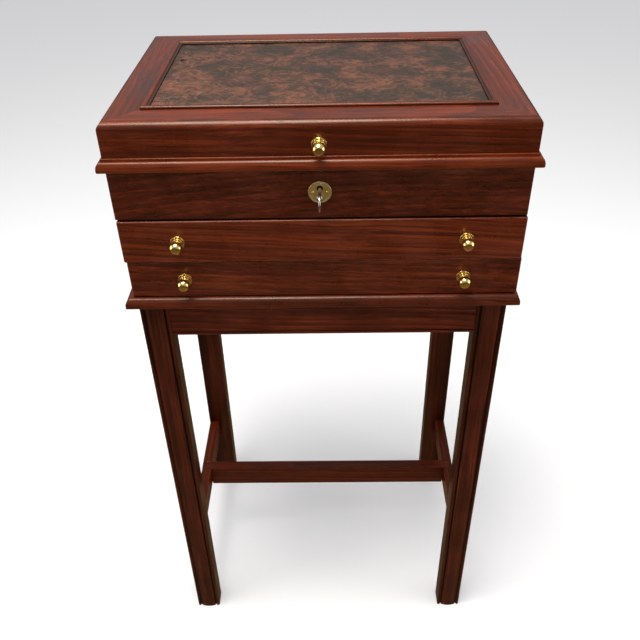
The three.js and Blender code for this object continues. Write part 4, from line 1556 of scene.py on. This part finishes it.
@dataclass
class Knob:
    """A turned brass knob: a stepped rose, a waisted neck and a bun-shaped head."""

    workshop: Workshop
    rose: float = 8 * MM
    head: float = 7.2 * MM
    neck: float = 2.9 * MM

    def profile(self, reach: float) -> list[Point]:
        """The knob's outline from the front's face to the tip of its head.

        Args:
            reach: how far the knob stands out.

        Returns:
            Points as radius and distance out.
        """
        flange = 1.1 * MM
        ring = 5.6 * MM
        sunk = 0.86  # how far the head's middle lies below its flattened tip, in radii
        middle = reach - sunk * self.head
        head = arc((0, middle), self.head, -52, 58, 6)
        flare = arc((self.neck + 1.6 * MM, 5.2 * MM), 1.6 * MM, 250, 130, 10)
        tip = (head[-1][0] * 0.5, middle + self.head * sunk - 0.12 * MM)
        return [
            (0, 0),
            (self.rose - 0.2 * MM, 0),
            *arc((self.rose - 0.5 * MM, 0.6 * MM), 0.5 * MM, 0, 80, 20),
            (ring + 0.5 * MM, flange + 0.15 * MM),
            (ring + 0.1 * MM, flange),
            *arc((ring - 0.5 * MM, flange + 0.8 * MM), 0.6 * MM, -20, 90, 15),
            (self.neck + 1.2 * MM, 2.7 * MM),
            *flare,
            *head,
            tip,
            (0, reach),
        ]

    def make(self, name: str, node: str, body: Body) -> None:
        """Makes a knob in the place of a packed one.

        Args:
            name: the piece's name.
            node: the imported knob.
            body: the body that it rides on.
        """
        low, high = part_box(node)
        middle = (low + high) / 2
        place = Vector((middle.x, high.y, middle.z))
        knob = lathe(name, self.profile(high.y - low.y), place, Vector((0, -1, 0)))
        smooth(knob, 45)
        self.workshop.fit(knob, body, self.workshop.finishes.brass, [node])


@dataclass
class LockAndKey:
    """The escutcheon and its pins, the lock behind it, and the key in its keyhole."""

    workshop: Workshop
    eye: float = 3.5 * MM
    slot: float = 3.8 * MM
    pin_offset: float = 7.6 * MM
    pin_radius: float = 1.4 * MM
    pin_dome: float = 0.6  # a pin's height over its radius
    shank: float = 2 * MM
    bow: float = 9.5 * MM
    wire: float = 1.3 * MM
    bit: float = 8 * MM
    bit_length: float = 5 * MM
    bit_thickness: float = 3 * MM
    rim: float = 1.5 * MM
    step: float = 0.3 * MM

    def axis(self) -> Vector:
        """A point on the lock's axis, at the escutcheon's face."""
        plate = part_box("escutcheon")[0]
        turning = plan_middle("lock_curtain")
        return Vector((turning.x, plate.y, turning.z))

    def make_escutcheon(self) -> None:
        """Makes the round plate with its raised rim and keyhole."""
        low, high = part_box("escutcheon")
        middle = (low + high) / 2
        radius = (high.x - low.x) / 2
        thick = high.y - low.y
        soft = 0.5 * MM
        inside = radius - self.rim
        profile = [
            (0, 0),
            (radius, 0),
            *arc((radius - soft, thick - soft), soft, 0, 90, 18),
            (inside, thick - 0.05 * MM),
            (inside - self.step, thick - self.step),
            (0, thick - self.step),
        ]
        place = Vector((middle.x, high.y, middle.z))
        plate = lathe("escutcheon_plate", profile, place, Vector((0, -1, 0)), 72)
        axis = self.axis()
        through = 2 * MM
        hole = lathe(
            "keyhole_eye",
            [(0, 0), (self.eye, 0), (self.eye, thick + 2 * through), (0, thick + 2 * through)],
            Vector((axis.x, high.y + through, axis.z)),
            Vector((0, -1, 0)),
            32,
        )
        # The slot ends just inside the curtain behind it.
        drop = axis.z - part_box("lock_curtain")[0].z - 0.4 * MM
        foot = Vector((axis.x - self.slot / 2, low.y - through, axis.z - drop))
        head = Vector((axis.x + self.slot / 2, high.y + through, axis.z))
        slot = block("keyhole_slot", foot, head)
        boolean(plate, [hole, slot], "DIFFERENCE")
        soften(plate, 0.15 * MM, 2)
        smooth(plate, 30)
        self.workshop.fit(plate, Body.CASE, self.workshop.finishes.old_brass, ["escutcheon"])

    def make_pins(self) -> None:
        """Sets the escutcheon's two round-headed pins."""
        low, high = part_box("escutcheon")
        middle = (low + high) / 2
        dome = [(0, 0), *arc((0, 0), self.pin_radius, 0, 85, 15), (0, self.pin_radius)]
        profile = [(radius, up * self.pin_dome) for radius, up in dome]
        for name, sign in (("left_pin", -1), ("right_pin", 1)):
            place = Vector((middle.x + sign * self.pin_offset, low.y + self.step, middle.z))
            pin = lathe(name, profile, place, Vector((0, -1, 0)), 24)
            smooth(pin, 60)
            self.workshop.fit(pin, Body.CASE, self.workshop.finishes.brass)

    def make_bow(self, middle: Vector) -> bpy.types.Object:
        """Makes the key's ring bow.

        Args:
            middle: the middle of the ring.

        Returns:
            The bow as a closed mesh, in its place.
        """
        bm = bmesh.new()
        around, tube = 56, 16
        rings = []
        for i in range(around):
            turn = 2 * math.pi * i / around
            outward = Vector((0, math.cos(turn), math.sin(turn)))
            ring = []
            for j in range(tube):
                angle = 2 * math.pi * j / tube
                aside = Vector((math.sin(angle) * self.wire, 0, 0))
                out = outward * (self.bow - self.wire + self.wire * math.cos(angle))
                ring.append(bm.verts.new(middle + out + aside))
            rings.append(ring)
        for i in range(around):
            for j in range(tube):
                here, after = rings[i], rings[(i + 1) % around]
                k = (j + 1) % tube
                bm.faces.new((here[j], after[j], after[k], here[k]))
        return new_object("key_bow", bm)

    def make_key(self) -> None:
        """Makes the key: a ring bow, a collared shank and a plain bit."""
        low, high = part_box("key")
        axis = self.axis()
        bow_y = low.y + self.bow
        front = bow_y + self.bow - self.wire
        length = high.y - front
        collar = 3.1 * MM
        profile = [
            (0, 0),
            (self.shank * 0.9, 0),
            (collar * 0.8, 0.5 * MM),
            *arc((collar - 0.6 * MM, 1.2 * MM), 0.6 * MM, -60, 60, 20),
            (self.shank * 1.15, 2.3 * MM),
            (self.shank * 1.15, 3.4 * MM),
            *arc((self.shank + 0.3 * MM, 4.2 * MM), 0.6 * MM, -70, 70, 20),
            (self.shank, 5.2 * MM),
            (self.shank, length - 0.4 * MM),
            (self.shank - 0.4 * MM, length),
            (0, length),
        ]
        key = lathe("lock_key", profile, Vector((axis.x, front, axis.z)), Vector((0, 1, 0)), 32)
        bow = self.make_bow(Vector((axis.x, bow_y, axis.z)))
        half = self.bit_thickness / 2
        bit = block(
            "key_bit",
            Vector((axis.x - half, high.y - self.bit_length, axis.z - self.bit)),
            Vector((axis.x + half, high.y, axis.z)),
        )
        boolean(key, [bow, bit], "UNION")
        smooth(key, 35)
        self.workshop.fit(key, Body.KEY, self.workshop.finishes.steel, ["key"])

    def make_works(self) -> None:
        """Makes the lock's own pieces behind the front."""
        finishes = self.workshop.finishes
        for name, node, body, material in (
            ("lock_box", "lock_case", Body.CASE, finishes.old_brass),
            ("lock_strike", "strike_plate", Body.LID, finishes.old_brass),
            ("sliding_bolt", "lock_bolt", Body.LOCK_BOLT, finishes.steel),
            ("turning_curtain", "lock_curtain", Body.LOCK_CURTAIN, finishes.steel),
        ):
            self.workshop.fitting(name, node, body, material, 0.2 * MM, 30)

    def make_screws(self) -> None:
        """Screws the lock to the well front and the strike to the lid."""
        brass = self.workshop.finishes.old_brass
        low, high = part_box("lock_case")
        inset = 5 * MM
        step = high.x - low.x - 2 * inset
        for name, height, seed in (
            ("upper_lock_screws", high.z - inset, 3),
            ("lower_lock_screws", low.z + inset, 5),
        ):
            start = (low.x + inset, high.y, height)
            row = ScrewRow(2, start, step, tip=-90, radius=2 * MM, height=0.7 * MM, seed=seed)
            self.workshop.screw_row(name, Body.CASE, brass, row)
        low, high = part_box("strike_plate")
        inset = 6.5 * MM
        start = (low.x + inset, (low.y + high.y) / 2, low.z)
        step = high.x - low.x - 2 * inset
        row = ScrewRow(2, start, step, tip=180, radius=1.9 * MM, height=0.3 * MM, seed=8)
        self.workshop.screw_row("strike_screws", Body.LID, brass, row)

    def make(self) -> None:
        """Makes the lock and its key."""
        self.make_escutcheon()
        self.make_pins()
        self.make_key()
        self.make_works()
        self.make_screws()


@dataclass
class Hinges:
    """The two brass butt hinges: leaves, knuckles and screws."""

    workshop: Workshop
    screw_inset: float = 6 * MM
    screw_back: float = 5 * MM  # from the leaf's inner edge
    screw_face: float = 3 * MM  # from the knuckle's far side to the leaf's face

    def make(self) -> None:
        """Makes both hinges' leaves and their screws."""
        brass = self.workshop.finishes.brass
        for side, seed in (("left", 11), ("right", 12)):
            for owner, body, tip in (("case", Body.CASE, 0), ("lid", Body.LID, 180)):
                node = f"hinge_{owner}_leaf_{side}"
                name = f"{side}_{owner}_hinge"
                self.workshop.fitting(f"{name}_leaf", node, body, brass, 0.25 * MM, 40)
                low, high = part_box(node)
                face = high.z - self.screw_face if owner == "case" else low.z + self.screw_face
                start = (low.x + self.screw_inset, low.y + self.screw_back, face)
                step = (high.x - low.x) / 2 - self.screw_inset
                row = ScrewRow(3, start, step, tip, radius=2.1 * MM, height=0.25 * MM, seed=seed)
                self.workshop.screw_row(f"{name}_screws", body, brass, row)


@dataclass
class Lid:
    """The lid: a mitred frame, its bead, the burr panel, the edge moulding, lining and knob."""

    workshop: Workshop
    knot: tuple[float, float]
    board: float = 14 * MM
    edge_radius: float = 8 * MM
    border: float = 37.8 * MM
    thickness: float = 13 * MM
    bead: float = 8.1 * MM
    fillet: float = 3 * MM
    fillet_reach: float = 1.6 * MM
    ripple: float = 7.5 * MM
    ripple_scale: float = 58.0
    knot_depth: float = 7 * MM
    bead_rise: float = 3 * MM
    bead_roll: float = 0.68  # the rounded share of the bead's width
    bead_step: float = 2 * MM  # from the bead's top down to its inner ledge
    hinge_depth: float = 1.5 * MM
    bolt_pocket: float = 10 * MM

    def span(self) -> tuple[Vector, Vector, Vector]:
        """The lid frame's lowest and highest corners, and its middle."""
        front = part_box("lid_rail_front")[0]
        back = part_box("lid_rail_back")[1]
        low = Vector((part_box("lid_rail_left")[0].x, front.y, front.z))
        high = Vector((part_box("lid_rail_right")[1].x, back.y, back.z))
        return low, high, (low + high) / 2

    def make_rails(self) -> None:
        """Makes the four mitred rails, with their recesses for hinges and strike."""
        low, high, middle = self.span()
        for side in Side:
            crosswise = side in (Side.FRONT, Side.BACK)
            across = (high.y - low.y) / 2 if crosswise else (high.x - low.x) / 2
            along = (high.x - low.x) / 2 if crosswise else (high.y - low.y) / 2
            under = high.z - self.thickness
            section = rounded([
                (across - self.board, low.z, 0.4 * MM),
                (across, low.z, 0.6 * MM),
                (across, high.z, self.edge_radius),
                (across - self.border, high.z, 0.25 * MM),
                (across - self.border, under, 0),
                (across - self.board, under, 0),
            ], 7.5)
            reach = (along, across, End.MITRE)
            made = rail(f"{side.word}_lid_rail", section, side, middle, (reach, reach))
            boolean(made, self.recesses(side), "DIFFERENCE")
            smooth(made, 25)
            tone = {Side.FRONT: 0.05, Side.BACK: 0.1, Side.LEFT: -0.1, Side.RIGHT: -0.05}[side]
            grain = Grain(Along.WIDTH if crosswise else Along.DEPTH, tone, 2.5, 0.09)
            nodes = [f"lid_rail_{side.word}"]
            self.workshop.fit(made, Body.LID, self.workshop.finishes.rosewood, nodes, grain)

    def recesses(self, side: Side) -> list[bpy.types.Object]:
        """Cutting blocks for what is let into a rail's underside.

        Args:
            side: the rail's side.

        Returns:
            The blocks.
        """
        margin = Vector((FIT, FIT, FIT))
        past = Vector((0, 0, 1 * MM))
        if side is Side.BACK:
            cutters = []
            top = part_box("lid_rail_back")[0].z + self.hinge_depth
            for word in ("left", "right"):
                low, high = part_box(f"hinge_lid_leaf_{word}")
                end = Vector((high.x, high.y, top))
                cutters.append(block(f"{word}_recess", low - margin - past, end + margin))
            return cutters
        if side is Side.FRONT:
            low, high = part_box("strike_plate")
            strike = block("strike_recess", low - margin - past, high + margin)
            bolt_low, bolt_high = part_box("lock_bolt")
            bolt_high = Vector((bolt_high.x, bolt_high.y, low.z + self.bolt_pocket))
            bolt_low = Vector((bolt_low.x, bolt_low.y, low.z))
            pocket = block("bolt_pocket", bolt_low - past - 2 * margin, bolt_high + 2 * margin)
            return [strike, pocket]
        return []

    def make_bead(self) -> None:
        """Makes the bead frame round the panel."""
        low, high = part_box("lid_bead_frame")
        middle = (low + high) / 2
        halves = (high - low) / 2
        top = high.z
        ledge = top - self.bead_step
        lengths = []
        for side in Side:
            crosswise = side in (Side.FRONT, Side.BACK)
            across = halves.y if crosswise else halves.x
            along = halves.x if crosswise else halves.y
            inner = across - self.bead
            section = rounded([
                (across, low.z, 0),
                (across, top, self.bead_rise * 0.9),
                (across - self.bead_roll * self.bead, top, self.bead_rise * 0.85),
                (across - (self.bead_roll + 0.04) * self.bead, ledge, 0.2 * MM),
                (inner, ledge - 0.1 * MM, 0.5 * MM),
                (inner, low.z, 0),
            ], 12)
            reach = (along, across, End.MITRE)
            lengths.append(rail(f"{side.word}_bead", section, side, middle, (reach, reach)))
        for side, length in zip(Side, lengths):
            smooth(length, 35)
            way = Along.WIDTH if side in (Side.FRONT, Side.BACK) else Along.DEPTH
            # The bead's foot and inner ledge are darkened with painted shade.
            grain = Grain(way, -0.1, 0.6, grimy=lambda place: place.z < ledge + 0.1 * MM)
            nodes = ["lid_bead_frame"]
            self.workshop.fit(length, Body.LID, self.workshop.finishes.rosewood, nodes, grain)

    def make_panel(self) -> None:
        """Makes the rippled burr panel and the lining under it."""
        low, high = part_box("lid_panel")
        values = {
            "Size": tuple(high - low - Vector((0, 0, 1 * MM))),
            "Middle": ((low.x + high.x) / 2, (low.y + high.y) / 2, high.z),
            "Knot": (*self.knot, high.z),
            "Knot Depth": self.knot_depth,
            "Columns": 240,
            "Rows": 150,
            "Ripple Height": self.ripple,
            "Ripple Scale": self.ripple_scale,
            "Finish": self.workshop.finishes.burr,
        }
        panel = grow("burr_panel", rippled_panel_tree(), values)
        smooth(panel, 50)
        self.workshop.fit(panel, Body.LID, self.workshop.finishes.burr, ["lid_panel"])
        self.workshop.lining("lid_pad", "lid_lining", Body.LID, face_down=True)

    def make_mouldings(self) -> None:
        """Makes the half-round mouldings along the lid's lower edge, none at the back."""
        low, high, middle = self.span()
        for side in (Side.FRONT, Side.LEFT, Side.RIGHT):
            node = f"lid_moulding_{side.word}"
            bottom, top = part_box(node)
            crosswise = side is Side.FRONT
            across = (high.y - low.y) / 2 if crosswise else (high.x - low.x) / 2
            along = (high.x - low.x) / 2 if crosswise else (high.y - low.y) / 2
            tip = middle.y - bottom.y if crosswise else (top.x - bottom.x) + across
            nose_top = top.z - self.fillet
            foot = 0.18 * (nose_top - bottom.z)
            turn = bottom.z + 0.34 * (nose_top - bottom.z)
            reach = tip - across - self.fillet_reach
            section = [(across, bottom.z)]
            section += arc((tip - foot, bottom.z + foot), foot, -90, 0, 15) + [(tip, turn)]
            section += quarter((tip - reach, turn), reach, nose_top - turn)[1:-1]
            section += rounded([
                (across + self.fillet_reach, nose_top, 0),
                (across + self.fillet_reach, top.z, 0.8 * MM),
                (across, top.z, 0),
            ], 20)
            mitre = (along, across, End.MITRE)
            plain = (along, across, End.SQUARE)
            ends = (plain if side is Side.LEFT else mitre, plain if side is Side.RIGHT else mitre)
            made = rail(f"{side.word}_lid_moulding", section, side, middle, ends)
            smooth(made, 35)
            grain = Grain(Along.WIDTH if crosswise else Along.DEPTH, 0.4, 1)
            self.workshop.fit(made, Body.LID, self.workshop.finishes.rosewood, [node], grain)

    def make(self) -> None:
        """Makes the whole lid."""
        self.make_rails()
        self.make_bead()
        self.make_panel()
        self.make_mouldings()
        Knob(self.workshop).make("lid_pull", "lid_knob", Body.LID)


@dataclass
class Drawer:
    """One drawer: its front, box, lining and two knobs."""

    workshop: Workshop
    name: str
    body: Body
    tone: float
    heart: float
    arris: float = 1.8 * MM
    box_arris: float = 0.6 * MM
    bottom_arris: float = 0.3 * MM

    def make(self) -> None:
        """Makes the drawer."""
        show = self.workshop.finishes.rosewood
        plain = self.workshop.finishes.drawer_wood
        word = self.name.split("_")[0]
        # The front's top and bottom edges are darkened with painted shade, as dark seam lines.
        seams = along_seams(f"{self.name}_front")
        parts = [
            ("front", Grain(Along.WIDTH, self.tone, 3.5, self.heart, seams), show, self.arris),
            ("side_left", Grain(Along.DEPTH, 0.1), plain, self.box_arris),
            ("side_right", Grain(Along.DEPTH, -0.1), plain, self.box_arris),
            ("back", Grain(Along.WIDTH, 0.0), plain, self.box_arris),
            ("bottom", Grain(Along.WIDTH, -0.2), plain, self.bottom_arris),
        ]
        for part, grain, material, arris in parts:
            node = f"{self.name}_{part}"
            self.workshop.board(f"{word}_tray_{part}", node, self.body, grain, material, arris)
        self.workshop.lining(f"{word}_tray_pad", f"{self.name}_lining", self.body)
        knob = Knob(self.workshop)
        for side in ("left", "right"):
            knob.make(f"{word}_{side}_pull", f"{self.name}_knob_{side}", self.body)


@dataclass
class Studio:
    """The floor, the lights, the sky and the camera."""

    body_middle: Vector
    eye: Vector
    pitch: float = 36.546
    yaw: float = -1.138
    roll: float = -1.277
    lens: float = 41.31
    floor_half: float = 12
    floor_pale: float = 0.86
    floor_glow: float = 0.12
    seen_sky: float = 0.93

    def make_camera(self) -> None:
        """Sets up the camera: turned by yaw, then tipped down, then rolled."""
        data = bpy.data.cameras.new("camera")
        data.sensor_width = 36
        data.lens = self.lens
        data.clip_end = 4 * self.floor_half
        camera = bpy.data.objects.new("camera", data)
        bpy.context.scene.collection.objects.link(camera)
        turn = Matrix.Rotation(math.radians(-self.yaw), 4, "Z")
        tip = Matrix.Rotation(math.radians(90 - self.pitch), 4, "X")
        roll = Matrix.Rotation(math.radians(self.roll), 4, "Z")
        camera.matrix_world = Matrix.Translation(self.eye) @ turn @ tip @ roll
        bpy.context.scene.camera = camera

    def make_floor(self) -> None:
        """Lays the pale floor."""
        bm = bmesh.new()
        bmesh.ops.create_grid(bm, x_segments=1, y_segments=1, size=self.floor_half)
        floor = new_object("floor", bm)
        material = bpy.data.materials.new("pale_floor")
        material.use_nodes = True
        shader = material.node_tree.nodes["Principled BSDF"]
        shader.inputs["Base Color"].default_value = (*[self.floor_pale] * 3, 1)
        shader.inputs["Roughness"].default_value = 0.9
        shader.inputs["Emission Color"].default_value = (1, 1, 1, 1)
        shader.inputs["Emission Strength"].default_value = self.floor_glow
        floor.data.materials.append(material)
        floor.visible_glossy = False

    def add_light(
        self, name: str, place: Vector, target: Vector, size: float, power: float, warm: Any
    ) -> None:
        """Adds a soft square light.

        Args:
            name: the light's name.
            place: where it hangs.
            target: the point that it faces.
            size: its width, in metres.
            power: its power, in watts.
            warm: its colour.
        """
        data = bpy.data.lights.new(name, "AREA")
        data.shape = "SQUARE"
        data.size = size
        data.energy = power
        data.color = warm
        light = bpy.data.objects.new(name, data)
        light.location = place
        light.rotation_euler = (target - place).to_track_quat("-Z", "Y").to_euler()
        bpy.context.scene.collection.objects.link(light)

    def make_sky(self) -> None:
        """Lights the scene from all round: bright overhead, dim towards the horizon and below."""
        world = bpy.data.worlds.new("sky")
        bpy.context.scene.world = world
        world.use_nodes = True
        wiring = Wiring(world.node_tree)
        wiring.tree.nodes.clear()
        way = wiring.node("ShaderNodeTexCoord").outputs["Generated"]
        # From straight below, through the horizon at a half, to straight overhead.
        height = wiring.math("MULTIPLY_ADD", wiring.parts(way)[2], 0.5, 0.5)
        colour = wiring.ramp(height, [
            (0.0, (0.34, 0.22, 0.12, 1)),
            (0.3, (0.12, 0.08, 0.04, 1)),
            (0.48, (0.05, 0.035, 0.02, 1)),
            (0.62, (0.42, 0.43, 0.44, 1)),
            (1.0, (0.65, 0.65, 0.67, 1)),
        ])
        seen = wiring.node("ShaderNodeLightPath").outputs["Is Camera Ray"]
        colour = wiring.blend(seen, colour, (*[self.seen_sky] * 3, 1))
        background = wiring.node("ShaderNodeBackground", {"Color": colour, "Strength": 1.0})
        output = wiring.node("ShaderNodeOutputWorld")
        wiring.feed(output.inputs["Surface"], background.outputs[0])

    def make(self) -> None:
        """Makes the studio."""
        self.make_camera()
        self.make_floor()
        top = self.body_middle + Vector((0, 0, 0.8))
        overhead = top + Vector((-0.2, -0.3, 1.5))
        self.add_light("overhead", overhead, top, size=0.9, power=42, warm=(1, 0.97, 0.94))
        shins = self.body_middle + Vector((0, 0, 0.3))
        for side in (-1, 1):
            place = self.body_middle + Vector((side * 1.7, -0.3, 0.95))
            self.add_light("side", place, shins, size=1.1, power=9, warm=(1, 0.98, 0.96))
        self.make_sky()
        bpy.context.scene.view_settings.view_transform = "Standard"


# ---------------------------------------------------------------- whole object


def main() -> None:
    """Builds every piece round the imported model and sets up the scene."""
    logging.basicConfig(level=logging.INFO, format="%(message)s")
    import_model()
    panel_low, panel_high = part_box("lid_panel")
    knot = (panel_low.x + 11 * MM, panel_high.y - 62 * MM)
    finishes = Finishes(knot)
    workshop = Workshop(finishes)
    body_middle = plan_middle("case_bottom")
    body_middle.z = 0
    Studio(body_middle, body_middle + Vector((0.0111, -0.8603, 1.1161))).make()
    Stand(workshop).make()
    Carcase(workshop).make()
    LockAndKey(workshop).make()
    Hinges(workshop).make()
    Lid(workshop, knot).make()
    # The lower drawer's front is toned darker than the upper one's: painted shade under the proud
    # upper drawer.
    Drawer(workshop, "upper_drawer", Body.UPPER_DRAWER, 0.45, 0.06).make()
    Drawer(workshop, "lower_drawer", Body.LOWER_DRAWER, 0.15, 0.05).make()
    LOG.info("%d pieces", workshop.count)


if __name__ == "__main__":
    main()
